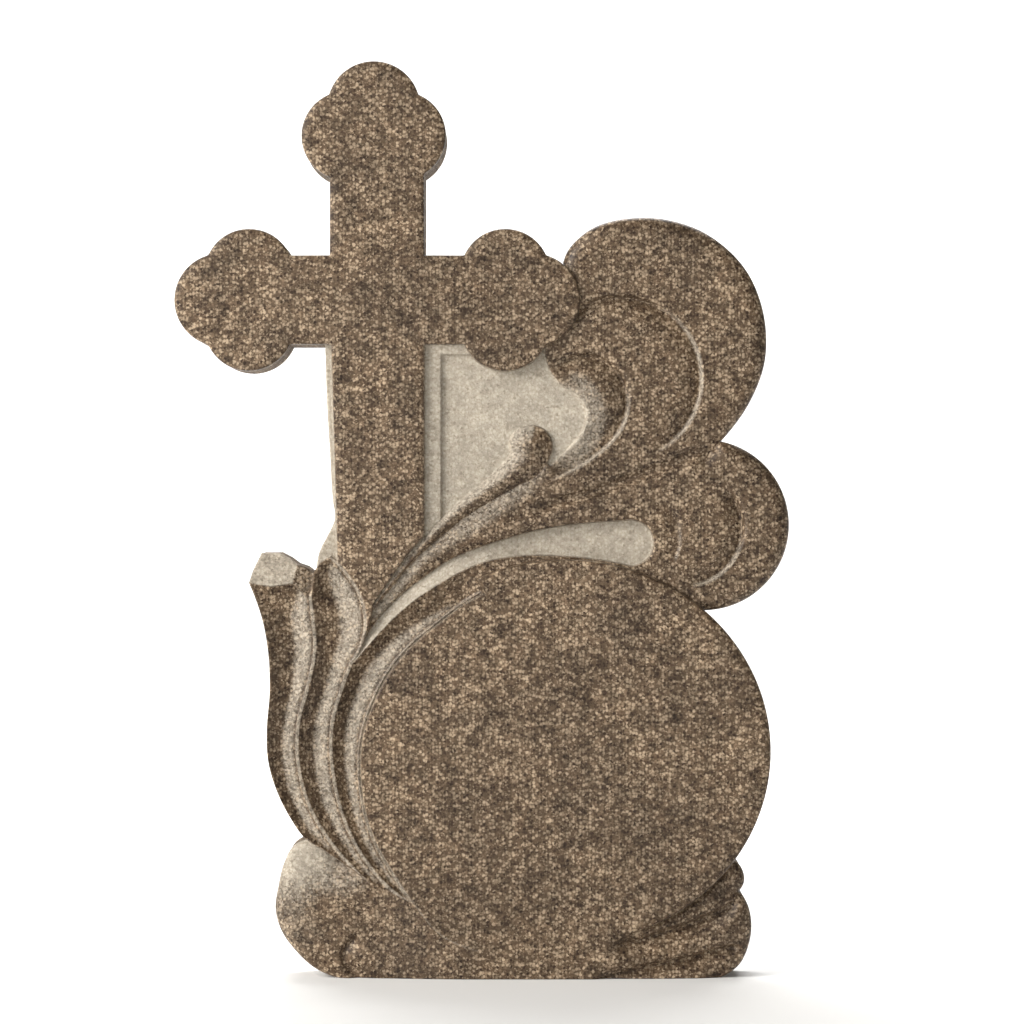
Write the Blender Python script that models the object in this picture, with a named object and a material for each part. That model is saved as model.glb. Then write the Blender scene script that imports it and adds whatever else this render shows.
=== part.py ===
"""A carved granite headstone: a cross with trefoil ends, two scrolls, a tendril and three fluted
leaves round a blank disc, all worked in relief on the face of one slab.

The stone stands on its flat underside with its face towards -Y. The origin is on the ground under
the middle of the stone. Every carved form has closed outlines on the face and a rule for its height
above the back, and a later form lies over the earlier ones. The face is cut into facets along
the outlines, each step between two forms becomes an upright wall, and the back is flat.
"""

from dataclasses import dataclass, field
from typing import Callable

import bmesh
import bpy
import numpy as np
from mathutils import Vector
from mathutils.geometry import delaunay_2d_cdt

# The slab
STONE_HEIGHT = 1.200
STONE_WIDTH = 0.805
STONE_THICKNESS = 0.120

# Places on the face are squares of a grid, counted from the middle of the foot
GRID_COLUMNS = 617
GRID_ROWS = 920

# Columns of the grid: the foot is flush with the disc round its middle and then sinks to both
# sides, and the teardrop's tail rises from right to left
FOOT_MIDDLE = 60
FOOT_FLUSH = 70
FOOT_SUNK = 180
TAIL_HIGH = -60
TAIL_LOW = 40

# The cross, with three lobes to each trefoil, the one at the end a little larger; the head's stands
# a little to the left, and its side lobes reach out further
LIMB_WIDTH = 0.124
LIMB_LEAN = 0.013
ARM_WIDTH = 0.117
END_LOBE_RADIUS = 0.0610
END_LOBE_REACH = 0.0368
SIDE_LOBE_RADIUS = 0.0587
ARM_REACH = 0.1675
ARM_SIDE_REACH = 0.0345
HEAD_REACH = 0.2146
HEAD_SHIFT = 0.0045
HEAD_SIDE_REACH = 0.0359
CROSS_ARRIS = 0.005

# The disc, and where its heel meets the leaves, as shares of its half width and half height
DISC_WIDTH = 0.536
DISC_HEIGHT = 0.501
DISC_ARRIS = 0.006
HEEL_MEETING = (-0.74, -0.797)

# The scrolls, with the turned-in lips on them, which fade out over a share of their length
LOWER_SCROLL_RADIUS = 0.112
GREAT_LIP_RADIUS = 0.109
LOWER_LIP_RADIUS = 0.078
SMALL_LIP_RADIUS = 0.065
LIP_WALL = 0.008
LIP_SWELL = 0.022
LIP_DEPTH = 0.009
SMALL_LIP_DEPTH = 0.003
LIP_FADE = 0.15
TEARDROP_END_RADIUS = 0.030

# The parting between the scrolls and the grooves on the foot, which start at a share of their depth
PARTING_WIDTH = 0.012
PARTING_DEPTH = 0.009
FOOT_GROOVE_WIDTH = 0.013
FOOT_GROOVE_DEPTH = 0.007
GROOVE_START = 0.2
GROOVE_FADE = 0.25

# The rounding of outer rims
RIM_WIDTH = 0.015
RIM_DROP = 0.012

# The rounding of the stem, whose side along the teardrop is full up to one share of its length
# and narrow from another
STEM_ROUND = 0.016
STEM_OUTER_ROUND = 0.024
STEM_DROP = 0.010
STEM_FULL_TO = 0.35
STEM_NARROW_FROM = 0.6
STEM_NARROWING = 0.25

# The leaves' flutes, and the flat cuts on the outer leaf's tip
FLUTE_DEPTH = 0.014
FLUTE_SPREAD = 0.042
PALE_CUT_DROP = 0.022
GREY_CUT_DROP = 0.016

# The tendril, which starts lower than it ends
TENDRIL_DROP = 0.008
TENDRIL_START_DROP = 0.001

# Depths below the disc's face
CROSS_DEPTH = 0.004
SCROLL_DEPTH = 0.012
LEAF_DEPTH = 0.010
TENDRIL_DEPTH = 0.006
FOOT_DEPTH = 0.014
TEARDROP_DEPTH = 0.026
LEDGE_DEPTH = 0.013
FLOOR_DEPTH = 0.019

# The ledge round the floor of the recess
LEDGE_WIDTH = 0.022
LEDGE_RISE = 0.013

# How finely curves are cut into facets, and where across a rounding, a flute and the tendril
# the facets change
FACET = 0.013
RIM_STEPS = (0.15, 0.45, 1)
FLUTE_STEPS = (0.2, 0.5, 0.8)
TENDRIL_STEP = 0.6
FOOT_STEPS = 5

# How close two heights are before they meet, two points before they are one, and an offset line
# to its full distance
MEETING = 0.001
SAME_PLACE = 0.00002
NEARLY_ALL = 0.9

SHARP_ANGLE = 35
OUTSIDE = -1


def grid(squares):
    """Places on the face, in metres, from squares of the grid."""
    return np.array(squares, float) * (STONE_WIDTH / GRID_COLUMNS, STONE_HEIGHT / GRID_ROWS)


CROSS_CENTRE = np.array([
    ARM_REACH + END_LOBE_REACH + END_LOBE_RADIUS - STONE_WIDTH / 2,
    STONE_HEIGHT - HEAD_REACH - END_LOBE_REACH - END_LOBE_RADIUS,
])
DISC_CENTRE = grid((84, 228))
DISC_RADII = np.array([DISC_WIDTH / 2, DISC_HEIGHT / 2])
LOWER_SCROLL_CENTRE = np.array([STONE_WIDTH / 2 - LOWER_SCROLL_RADIUS, grid((0, 455))[1]])


def disc_place(shares):
    """Places given as shares of the disc's half width and half height, from its middle."""
    return DISC_CENTRE + np.array(shares, float) * DISC_RADII


# Lines and regions on the face

def smooth(points):
    """A curve through the points, in straight facets of about one step."""
    points = np.asarray(points, float)
    chord = np.diff(points, axis=0)
    length = np.linalg.norm(chord, axis=1)[:, None]
    heading = chord / length
    if len(chord) > 1:
        inner = (heading[:-1] * length[1:] + heading[1:] * length[:-1]) / (length[:-1] + length[1:])
        tangent = np.vstack([2 * heading[:1] - inner[:1], inner, 2 * heading[-1:] - inner[-1:]])
    else:
        tangent = np.vstack([heading, heading])
    curve = []
    for index, span in enumerate(length[:, 0]):
        count = max(1, round(span / FACET))
        t = np.arange(count)[:, None] / count
        start, end = points[index], points[index + 1]
        leave, arrive = tangent[index] * span, tangent[index + 1] * span
        curve.append((2 * t**3 - 3 * t**2 + 1) * start + (t**3 - 2 * t**2 + t) * leave
                     + (3 * t**2 - 2 * t**3) * end + (t**3 - t**2) * arrive)
    return np.vstack(curve + [points[-1:]])


def arc(centre, radius, start, end):
    """Points on a circle, or on an ellipse with two radii, between two angles in degrees."""
    radii = np.broadcast_to(radius, 2)
    count = max(3, round(abs(np.radians(end - start)) * radii.max() / FACET))
    angle = np.radians(np.linspace(start, end, count + 1))
    return centre + radii * np.column_stack([np.cos(angle), np.sin(angle)])


def chain(*lines):
    """Lines joined end to end, without repeated points."""
    line = np.vstack(lines)
    step = np.linalg.norm(np.diff(line, axis=0), axis=1)
    return line[np.append(True, step > SAME_PLACE)]


def outline(*lines):
    """Lines joined into a closed outline, with its long sides cut into steps of about a facet."""
    corners = chain(*lines, lines[0][:1])
    return np.vstack([smooth(side)[:-1] for side in zip(corners, corners[1:])])


def circle(centre, radius):
    """A circle of four quarters, so that it has points at its full width and height."""
    return outline(*[arc(centre, radius, turn, turn + 90) for turn in (0, 90, 180, 270)])


def box(low, high):
    """A rectangle, anticlockwise from its lower left corner."""
    return outline(np.array([low, (high[0], low[1]), high, (low[0], high[1])]))


def measure(points, line):
    """Each point's distance from a line, its side of it (+1 is left) and its share of the way."""
    start = line[:-1]
    step = np.diff(line, axis=0)
    length = np.linalg.norm(step, axis=1)
    away = points[:, None] - start
    along = np.clip((away * step).sum(2) / length**2, 0, 1)
    distance = np.linalg.norm(away - along[..., None] * step, axis=2)
    nearest = distance.argmin(1)
    rows = np.arange(len(points))
    turn = step[nearest, 0] * away[rows, nearest, 1] - step[nearest, 1] * away[rows, nearest, 0]
    travelled = np.append(0, np.cumsum(length))
    share = (travelled[nearest] + along[rows, nearest] * length[nearest]) / travelled[-1]
    return distance[rows, nearest], np.where(turn < 0, -1, 1), share


def distance(points, lines):
    """Each point's distance from the nearest of several lines."""
    return np.min([measure(points, line)[0] for line in lines], axis=0)


def inside(points, region):
    """Whether each point lies in the region that a closed outline bounds."""
    x, z = points[:, :1], points[:, 1:]
    ax, az = region.T
    bx, bz = np.roll(region, -1, axis=0).T
    level = az == bz
    slope = np.where(level, 0, (bx - ax) / np.where(level, 1, bz - az))
    crossed = ((az > z) != (bz > z)) & (x < ax + (z - az) * slope)
    return crossed.sum(1) % 2 == 1


def offset(line, amount):
    """The line moved to its left by an amount, which may differ from point to point."""
    heading = np.gradient(line, axis=0)
    heading /= np.linalg.norm(heading, axis=1)[:, None]
    return line + np.column_stack([-heading[:, 1], heading[:, 0]]) * np.reshape(amount, (-1, 1))


def closed(region):
    return np.vstack([region, region[:1]])


def stretches(line, keep):
    """The runs of a line whose points are all kept."""
    breaks = np.flatnonzero(np.diff(keep.astype(int))) + 1
    for run, kept in zip(np.split(line, breaks), np.split(keep, breaks)):
        if kept[0] and len(run) > 1:
            yield run


def rim_of(outlines):
    """The stretches of several outlines that bound them as one region."""
    rim = []
    for region in outlines:
        line = closed(region)
        buried = np.zeros(len(line), bool)
        for other in outlines:
            if other is not region:
                buried |= inside(line, other)
        rim += stretches(line, ~buried)
    return rim


# Rules for heights

def fall(gap, width, drop):
    """How far a rounded edge has fallen, by the distance from it."""
    return drop * (1 - np.sqrt(1 - np.clip(1 - gap / width, 0, 1)**2))


def lip(points, line, depth):
    """A wall down on the left of a line, and a gentle swell back up beyond it."""
    gap, side, share = measure(points, line)
    sunk = np.interp(gap * side, [0, LIP_WALL, LIP_WALL + LIP_SWELL], [0, depth, 0])
    return sunk * np.interp(share, [0, LIP_FADE, 1 - LIP_FADE, 1], [0, 1, 1, 0])


def lip_guides(line):
    return [line] + [offset(line, LIP_WALL + part * LIP_SWELL) for part in (0, 0.5, 1)]


def groove(points, line, width, depth):
    """A furrow along a line, shallow where it starts."""
    gap, _, share = measure(points, line)
    full = np.interp(share, [0, GROOVE_FADE], [GROOVE_START, 1])
    return depth * full * np.clip(1 - gap / width, 0, 1)


def groove_guides(line, width):
    return [line, offset(line, width), offset(line, -width)]


@dataclass
class Form:
    """A carved form: its outlines, the rule for its height above the back and its guide lines."""

    outlines: list
    height: Callable
    guides: list = field(default_factory=list)


def level_form(outlines, depth):
    return Form(outlines, lambda points: np.full(len(points), STONE_THICKNESS - depth))


# The carved forms

def ground_form():
    """The floor of the recess, which shows again as a strip and a bulge left of the lower limb."""
    edge = smooth(grid([(-158, 650), (-157, 610), (-156, 580), (-153, 530), (-150, 480),
                        (-148, 461), (-156, 443), (-163, 429), (-166, 405)]))
    hidden = grid([(-140, 340), (-50, 330), (150, 380), (230, 480), (230, 640), (120, 690)])
    return level_form([outline(edge, hidden)], FLOOR_DEPTH)


def ledge_form():
    """The ledge along the lower limb and under the right arm."""
    right = CROSS_CENTRE[0] + LIMB_WIDTH / 2 + LEDGE_WIDTH
    under = CROSS_CENTRE[1] - ARM_WIDTH / 2 - LEDGE_RISE
    upright = box((CROSS_CENTRE[0], grid((0, 420))[1]), (right, CROSS_CENTRE[1]))
    level = box((CROSS_CENTRE[0], under), CROSS_CENTRE + (ARM_REACH, 0))
    return level_form([upright, level], LEDGE_DEPTH)


def cross_outlines():
    """The limbs as boxes, the lower one leaning in, and a trefoil at three of the four ends."""
    half_limb, half_arm = LIMB_WIDTH / 2, ARM_WIDTH / 2
    cx, cz = CROSS_CENTRE
    foot = grid((0, 340))[1]
    lower_limb = outline(np.array([(cx - half_limb + LIMB_LEAN, foot), (cx + half_limb, foot),
                                   (cx + half_limb, cz), (cx - half_limb, cz)]))
    arms = box((cx - ARM_REACH, cz - half_arm), (cx + ARM_REACH, cz + half_arm))
    head = box((cx - half_limb, cz), (cx + half_limb, cz + HEAD_REACH))
    lobes = []
    ends = [((-1, 0), ARM_REACH, 0, ARM_SIDE_REACH), ((1, 0), ARM_REACH, 0, ARM_SIDE_REACH),
            ((0, 1), HEAD_REACH, -HEAD_SHIFT, HEAD_SIDE_REACH)]
    for out, reach, shift, side_reach in ends:
        middle = CROSS_CENTRE + np.array(out) * reach + (shift, 0)
        lobes.append(circle(middle + np.array(out) * END_LOBE_REACH, END_LOBE_RADIUS))
        for turn in ((out[1], out[0]), (-out[1], -out[0])):
            lobes.append(circle(middle + np.array(turn) * side_reach, SIDE_LOBE_RADIUS))
    return lower_limb, [arms, head] + lobes


def cross_forms():
    """The lower limb, which passes behind the stem, and the rest, which lies over the scroll."""
    lower_limb, upper = cross_outlines()
    rim = rim_of([lower_limb] + upper)

    def height(points):
        return STONE_THICKNESS - CROSS_DEPTH - fall(distance(points, rim), CROSS_ARRIS, CROSS_ARRIS)

    def guides(outlines):
        lines = []
        for region in outlines:
            line = offset(closed(region), CROSS_ARRIS)
            lines += stretches(line, distance(line, rim) > NEARLY_ALL * CROSS_ARRIS)
        return lines

    return Form([lower_limb], height, guides([lower_limb])), Form(upper, height, guides(upper))


TENDRIL_SPINE = [(-108, 373), (-90, 398), (-70, 423), (-46, 447), (-20, 470), (8, 490), (30, 506),
                 (44, 518), (49, 533)]
TENDRIL_HALF_WIDTHS = [2, 3, 4.5, 6, 8, 10, 13.5, 18, 22]

TAIL_CREST = [(-20, 409), (-38, 399), (-54, 389), (-70, 378), (-85, 365), (-101, 349), (-116, 332),
              (-130, 316)]


def teardrop_sides():
    """The sunk teardrop's upper side, tail to head, and its lower side, head to tail."""
    upper = smooth(grid([(-130, 318), (-119, 339), (-107, 357), (-92, 374), (-75, 390), (-57, 403),
                         (-37, 417), (-14, 428), (18, 439), (58, 450), (98, 456), (138, 459)]))
    head = arc(grid((149, 437)), TEARDROP_END_RADIUS, 105, -90)
    lower = smooth(grid([(149, 414), (118, 420), (78, 424), (38, 424), (3, 418), (-20, 409)]))
    return chain(upper, head), chain(lower, smooth(grid(TAIL_CREST)))


def scrolls_form():
    """Both scrolls and the stem they spring from, with the turned-in lips and the parting."""
    great_rim = smooth(grid([(80, 705), (84, 727), (104, 749), (163, 764), (223, 749), (266, 710),
                             (284, 662), (284, 618), (270, 580), (241, 540), (222, 522)]))
    recess_edge = smooth(grid([(63, 644), (63, 628), (67, 612), (78, 597), (94, 584), (104, 567),
                               (100, 549), (87, 532), (68, 514)]))
    stem_edge = smooth(grid(TENDRIL_SPINE[::-1]))
    hidden = grid([(-118, 340), (-130, 316), (-60, 310), (80, 340), (215, 380)])
    great = outline(recess_edge, stem_edge, hidden, great_rim[::-1])
    lower = circle(LOWER_SCROLL_CENTRE, LOWER_SCROLL_RADIUS)
    lower_rim = arc(LOWER_SCROLL_CENTRE, LOWER_SCROLL_RADIUS, 85, -95)

    great_lip = arc(grid((138, 602)), GREAT_LIP_RADIUS, 152, -65)[::-1]
    inner_lip = smooth(grid([(66, 500), (86, 509), (108, 522), (126, 538), (140, 556), (147, 577),
                             (144, 596), (130, 616), (108, 626), (88, 624), (70, 610)]))
    lower_lip = arc(grid((203, 452)), LOWER_LIP_RADIUS, 45, -85)[::-1]
    small_lip = arc(grid((150, 442)), SMALL_LIP_RADIUS, 50, -30)[::-1]
    lips = [(great_lip, LIP_DEPTH), (inner_lip, LIP_DEPTH), (lower_lip, LIP_DEPTH),
            (small_lip, SMALL_LIP_DEPTH)]
    parting = smooth(grid([(30, 463), (53, 470), (78, 478), (108, 487), (138, 497), (173, 510),
                           (198, 519), (218, 528), (244, 541)]))
    upper_side, _ = teardrop_sides()

    def height(points):
        falls = [fall(distance(points, [great_rim, lower_rim]), RIM_WIDTH, RIM_DROP),
                 fall(distance(points, [recess_edge]), CROSS_ARRIS, CROSS_ARRIS),
                 fall(distance(points, [stem_edge]), STEM_OUTER_ROUND, STEM_DROP)]
        gap, _, share = measure(points, upper_side)
        narrow = np.interp(share, [STEM_FULL_TO, STEM_NARROW_FROM], [1, STEM_NARROWING])
        falls.append(fall(gap / narrow, STEM_ROUND, STEM_DROP) * narrow)
        cuts = sum(lip(points, line, depth) for line, depth in lips)
        cuts += groove(points, parting, PARTING_WIDTH, PARTING_DEPTH)
        return STONE_THICKNESS - SCROLL_DEPTH - np.maximum(np.max(falls, axis=0), cuts)

    guides = groove_guides(parting, PARTING_WIDTH)
    for line, _ in lips:
        guides += lip_guides(line)
    for share in RIM_STEPS:
        guides += [offset(great_rim, -share * RIM_WIDTH), offset(lower_rim, -share * RIM_WIDTH)]
    guides.append(offset(recess_edge, CROSS_ARRIS))
    guides.append(offset(stem_edge, STEM_ROUND))
    guides.append(offset(upper_side, STEM_ROUND / 2))
    return Form([great, lower], height, guides)


def foot_level(points):
    """The foot is flush with the disc under its middle and sinks behind it to both sides."""
    middle, near, far = grid([(FOOT_MIDDLE, 0), (FOOT_FLUSH, 0), (FOOT_SUNK, 0)])[:, 0]
    share = np.interp(abs(points[:, 0] - middle), [near, far], [0, 1])
    return STONE_THICKNESS - FOOT_DEPTH * share**2 * (3 - 2 * share)


def foot_form():
    """The foot: a rolled lobe on the left, two on the right, and a flat underside."""
    left = smooth(grid([(-142, 118), (-176, 139), (-190, 132), (-199, 116), (-205, 92), (-208, 69),
                        (-202, 47), (-187, 26), (-168, 9), (-147, 0)]))
    right = smooth(grid([(240, 0), (258, 12), (268, 32), (271, 53), (268, 71), (259, 87)]))
    small = smooth(grid([(259, 87), (264, 98), (261, 110), (250, 122), (233, 135)]))
    rims = [left, right, small]
    volute = smooth(grid([(-130, 42), (-140, 33), (-144, 24), (-141, 14), (-130, 3)]))
    upper = smooth(grid([(128, 36), (173, 48), (208, 59), (238, 72), (259, 87)]))
    lower = smooth(grid([(108, 2), (158, 15), (183, 20), (208, 25), (233, 32), (268, 38)]))

    grooves = [volute, upper, lower]

    def height(points):
        rounding = fall(distance(points, rims), RIM_WIDTH, RIM_DROP)
        cuts = sum(groove(points, line, FOOT_GROOVE_WIDTH, FOOT_GROOVE_DEPTH) for line in grooves)
        return foot_level(points) - np.maximum(rounding, cuts)

    guides = []
    for line in grooves:
        guides += groove_guides(line, FOOT_GROOVE_WIDTH)
    for share in RIM_STEPS:
        guides += [offset(rim, share * RIM_WIDTH) for rim in rims]
    for reach in np.linspace(FOOT_FLUSH, FOOT_SUNK, FOOT_STEPS):
        for column in (FOOT_MIDDLE - reach, FOOT_MIDDLE + reach):
            guides.append(smooth(grid([(column, 0), (column, 110)])))
    return Form([outline(left, right, small)], height, guides)


def disc_lines():
    """The disc's round rim, clockwise from its left, and its heel below, left to right."""
    rim = arc(DISC_CENTRE, DISC_RADII, 180, -70)
    heel = smooth(disc_place([(-1, 0), (-0.997, -0.17), (-0.973, -0.328), (-0.92, -0.484),
                              (-0.842, -0.63), HEEL_MEETING, (-0.62, -0.95), (-0.4, -1.05),
                              (0, -1.06), (0.342, -0.94)]))
    return rim, heel


def disc_form():
    """The blank disc, whose edge is lost where the foot is flush with it."""
    rim, heel = disc_lines()
    edge = [rim, heel]

    def height(points):
        rounded = STONE_THICKNESS - fall(distance(points, edge), DISC_ARRIS, DISC_ARRIS)
        return np.maximum(rounded, foot_level(points))

    guides = [offset(rim, -DISC_ARRIS), offset(heel, DISC_ARRIS)]
    return Form([outline(rim, heel[::-1])], height, guides)


def teardrop_form():
    """The sunk teardrop, whose tail rises to a bright sloping strip beside the leaf."""
    upper, lower = teardrop_sides()
    high, low = grid([(TAIL_HIGH, 0), (TAIL_LOW, 0)])[:, 0]

    def height(points):
        to_upper, to_lower = distance(points, [upper]), distance(points, [lower])
        across = to_upper / np.maximum(to_upper + to_lower, SAME_PLACE)
        tail = np.interp(points[:, 0], [high, low], [1, 0])
        strip_low, strip_high = SCROLL_DEPTH + STEM_DROP, LEAF_DEPTH
        depth_in_tail = strip_low + (strip_high - strip_low) * across
        return STONE_THICKNESS - (TEARDROP_DEPTH * (1 - tail) + depth_in_tail * tail)

    return Form([outline(upper, lower)], height)


def leaf_form(left, right, tip=()):
    """A leaf hollowed between its two sides, both drawn from the tip down."""
    def height(points):
        to_left, to_right = distance(points, [left]), distance(points, [right])
        across = to_left / np.maximum(to_left + to_right, SAME_PLACE)
        depth = FLUTE_DEPTH * np.minimum(1, (to_left + to_right) / FLUTE_SPREAD)
        return STONE_THICKNESS - LEAF_DEPTH - depth * 4 * across * (1 - across)

    count = max(len(left), len(right))
    even = [resample(side, count) for side in (left, right)]
    guides = [even[0] * (1 - share) + even[1] * share for share in FLUTE_STEPS]
    top = grid(tip)[::-1] if tip else left[:0]
    return Form([outline(left, right[::-1], top)], height, guides)


def resample(line, count):
    """The same line with an even number of steps."""
    step = np.linalg.norm(np.diff(line, axis=0), axis=1)
    travelled = np.append(0, np.cumsum(step))
    places = np.linspace(0, travelled[-1], count)
    return np.column_stack([np.interp(places, travelled, line[:, axis]) for axis in (0, 1)])


def facet_form(corners, low, high, drop):
    """A flat cut on a leaf's tip that falls away from one place to another."""
    low, high = grid(low), grid(high)

    def height(points):
        share = (points - high) @ (low - high) / ((low - high) @ (low - high))
        return STONE_THICKNESS - LEAF_DEPTH - drop * np.maximum(share, 0)

    return Form([outline(grid(corners))], height)


def leaf_forms():
    """The three fluted leaves, left to right, that share their crests, and the outer leaf's tip."""
    meeting = disc_place([HEEL_MEETING])
    first_crest = smooth(grid([(-169, 407), (-171, 388), (-168, 360), (-166, 334), (-174, 290),
                               (-182, 260), (-184, 230), (-180, 200), (-171, 172), (-157, 147),
                               (-136, 120), (-110, 94)]))
    second_crest = smooth(np.vstack([
        grid([(-130, 316), (-140, 288), (-148, 260), (-150, 230), (-147, 200), (-140, 170),
              (-128, 140), (-111, 113), (-91, 91)]), meeting]))

    outer_side = smooth(grid([(-234, 397), (-227, 380), (-220, 358), (-215, 330), (-213, 290),
                              (-216, 250), (-215, 220), (-206, 188), (-193, 162), (-177, 140),
                              (-158, 128), (-136, 113), (-110, 94)]))
    outer_tip = [(-230, 410), (-222, 427), (-204, 427), (-194, 422), (-186, 416), (-177, 413)]
    outer = leaf_form(outer_side, first_crest, outer_tip)

    middle_left = chain(grid([(-151, 424), (-163, 417)]), first_crest,
                        smooth(np.vstack([grid([(-110, 94), (-88, 83)]), meeting])))
    middle_right = chain(smooth(grid([(-151, 424), (-134, 406), (-122, 387), (-116, 367),
                                      (-117, 343), (-130, 316)])), second_crest)
    middle = leaf_form(middle_left, middle_right)

    tip = disc_place([(-0.395, 0.822)])
    cradle_left = chain(smooth(np.vstack([tip, grid([(-6, 401), (-20, 409)])])),
                        smooth(grid(TAIL_CREST)), second_crest)
    _, heel = disc_lines()
    turn = int(np.argmin(np.linalg.norm(heel - meeting, axis=1)))
    cradle_right = chain(smooth(np.vstack([
        tip, disc_place([(-0.506, 0.76), (-0.628, 0.661), (-0.735, 0.568), (-0.822, 0.469),
                         (-0.895, 0.349), (-0.954, 0.208), (-0.988, 0.09), (-1, 0)])])),
        heel[:turn + 1])
    cradle = leaf_form(cradle_left, cradle_right)

    pale_corners = [(-234, 397), (-212, 393), (-190, 396), (-186, 416), (-194, 422), (-204, 427),
                    (-222, 427), (-230, 410)]
    grey_corners = [(-190, 396), (-174, 380), (-171, 388), (-169, 407), (-177, 413), (-186, 416)]
    pale_cut = facet_form(pale_corners, (-213, 427), (-212, 394), PALE_CUT_DROP)
    grey_cut = facet_form(grey_corners, (-172, 412), (-189, 393), GREY_CUT_DROP)
    return [outer, middle, cradle, pale_cut, grey_cut]


def tendril_form():
    """The tendril: a rounded stem that swells into a knob at its end."""
    spine = smooth(grid(TENDRIL_SPINE))
    _, _, places = measure(grid(TENDRIL_SPINE), spine)
    half_widths = np.array(TENDRIL_HALF_WIDTHS) * STONE_HEIGHT / GRID_ROWS
    _, _, shares = measure(spine, spine)
    half = np.interp(shares, places, half_widths)
    heading = np.degrees(np.arctan2(*(spine[-1] - spine[-2])[::-1]))
    cap = arc(spine[-1], half[-1], heading - 90, heading + 90)
    edge = outline(offset(spine, -half), cap, offset(spine, half)[::-1])

    def height(points):
        gap, _, share = measure(points, spine)
        reach = np.interp(share, places, half_widths)
        crest = STONE_THICKNESS - TENDRIL_DEPTH - TENDRIL_START_DROP * (1 - share)
        return crest - TENDRIL_DROP * np.clip(gap / reach, 0, 1)**2

    inner = half * TENDRIL_STEP
    knob = arc(spine[-1], inner[-1], heading - 90, heading + 90)
    guides = [spine, chain(offset(spine, -inner), knob, offset(spine, inner)[::-1])]
    return Form([edge], height, guides)


# Cutting the face into facets

def owners(points, forms):
    """The form that each point lies in: the last one that covers it, or OUTSIDE."""
    owner = np.full(len(points), OUTSIDE)
    for index, form in enumerate(forms):
        for region in form.outlines:
            owner[inside(points, region)] = index
    return owner


def drawing(forms):
    """Every stretch of outline or guide that shows, as points and the edges between them."""
    lines = []
    for index, form in enumerate(forms):
        for region in form.outlines:
            line = closed(region)
            buried = owners(line, forms) > index
            for other in form.outlines:
                if other is not region:
                    buried |= inside(line, other)
            showing = ~buried
            beside = showing.copy()
            beside[1:] |= showing[:-1]
            beside[:-1] |= showing[1:]
            lines += stretches(line, beside)
        for guide in form.guides:
            lines += stretches(guide, owners(guide, forms) == index)
    points, edges = [], []
    for line in lines:
        first = len(points)
        points += [Vector(place) for place in line]
        edges += [(first + i, first + i + 1) for i in range(len(line) - 1)]
    return points, edges


def heights_at_corners(places, triangles, owner, forms):
    """The height of each form at each of its corners, and the height zero outside."""
    height = {}
    for index, form in enumerate(forms):
        used = sorted({corner for corners, mine in zip(triangles, owner) if mine == index
                       for corner in corners})
        if used:
            height.update(zip(((corner, index) for corner in used), form.height(places[used])))
    return height


def find_seams(triangles, owner):
    """Edges with a different form on each side, as corner, corner, left form and right form."""
    sides = {}
    for corners, mine in zip(triangles, owner):
        for a, b in zip(corners, corners[1:] + corners[:1]):
            sides[a, b] = mine
    seams = []
    for (a, b), left in sides.items():
        right = sides.get((b, a), OUTSIDE)
        if left != right and left != OUTSIDE and (a < b or right == OUTSIDE):
            seams.append((a, b, left, right))
    return seams


def settle(height, seams):
    """Lets forms of nearly one height meet, and stops a step from changing sides along an edge."""
    def step(corner, left, right):
        return height[corner, left] - height[corner, right]

    def level(corner, left, right):
        height[corner, left] = height[corner, right] = max(height[corner, left], height[corner, right])

    inner = [seam for seam in seams if seam[3] != OUTSIDE]
    changed = True
    while changed:
        changed = False
        for a, b, left, right in inner:
            for corner in (a, b):
                if 0 < abs(step(corner, left, right)) < MEETING:
                    level(corner, left, right)
                    changed = True
            if step(a, left, right) * step(b, left, right) < 0:
                level(min(a, b, key=lambda corner: abs(step(corner, left, right))), left, right)
                changed = True


def carve(forms):
    """The slab with every form cut into its face, as a mesh that is closed all round."""
    points, edges = drawing(forms)
    flat, _, triangles = delaunay_2d_cdt(points, edges, [], 0, SAME_PLACE)[:3]
    places = np.array([tuple(place) for place in flat])
    owner = owners(places[np.array(triangles)].mean(1), forms).tolist()
    height = heights_at_corners(places, triangles, owner, forms)
    seams = find_seams(triangles, owner)
    for a, b, _, right in seams:
        if right == OUTSIDE:
            height[a, OUTSIDE] = height[b, OUTSIDE] = 0.0
    settle(height, seams)

    mesh = bmesh.new()
    made = {}
    levels = {}
    for (corner, _), value in height.items():
        levels.setdefault(corner, set()).add(value)

    def corner_at(corner, value):
        if (corner, value) not in made:
            x, z = places[corner]
            made[corner, value] = mesh.verts.new((x, STONE_THICKNESS / 2 - value, z))
        return made[corner, value]

    def upright(corner, start, end):
        low, high = sorted((start, end))
        between = sorted(value for value in levels[corner] if low <= value <= high)
        return between if start <= end else between[::-1]

    for corners, mine in zip(triangles, owner):
        if mine != OUTSIDE:
            mesh.faces.new([corner_at(corner, height[corner, mine]) for corner in corners])
    for a, b, left, right in seams:
        near = [corner_at(a, value) for value in upright(a, height[a, right], height[a, left])]
        far = [corner_at(b, value) for value in upright(b, height[b, right], height[b, left])]
        while len(near) > 1 or len(far) > 1:
            if len(far) >= len(near):
                mesh.faces.new((near[0], far[0], far[1]))
                far.pop(0)
            else:
                mesh.faces.new((near[0], far[0], near[1]))
                near.pop(0)
    rim = [edge for edge in mesh.edges if edge.is_boundary]
    bmesh.ops.holes_fill(mesh, edges=rim, sides=0)
    bmesh.ops.recalc_face_normals(mesh, faces=mesh.faces)
    bmesh.ops.triangulate(mesh, faces=mesh.faces)
    return mesh


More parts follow.
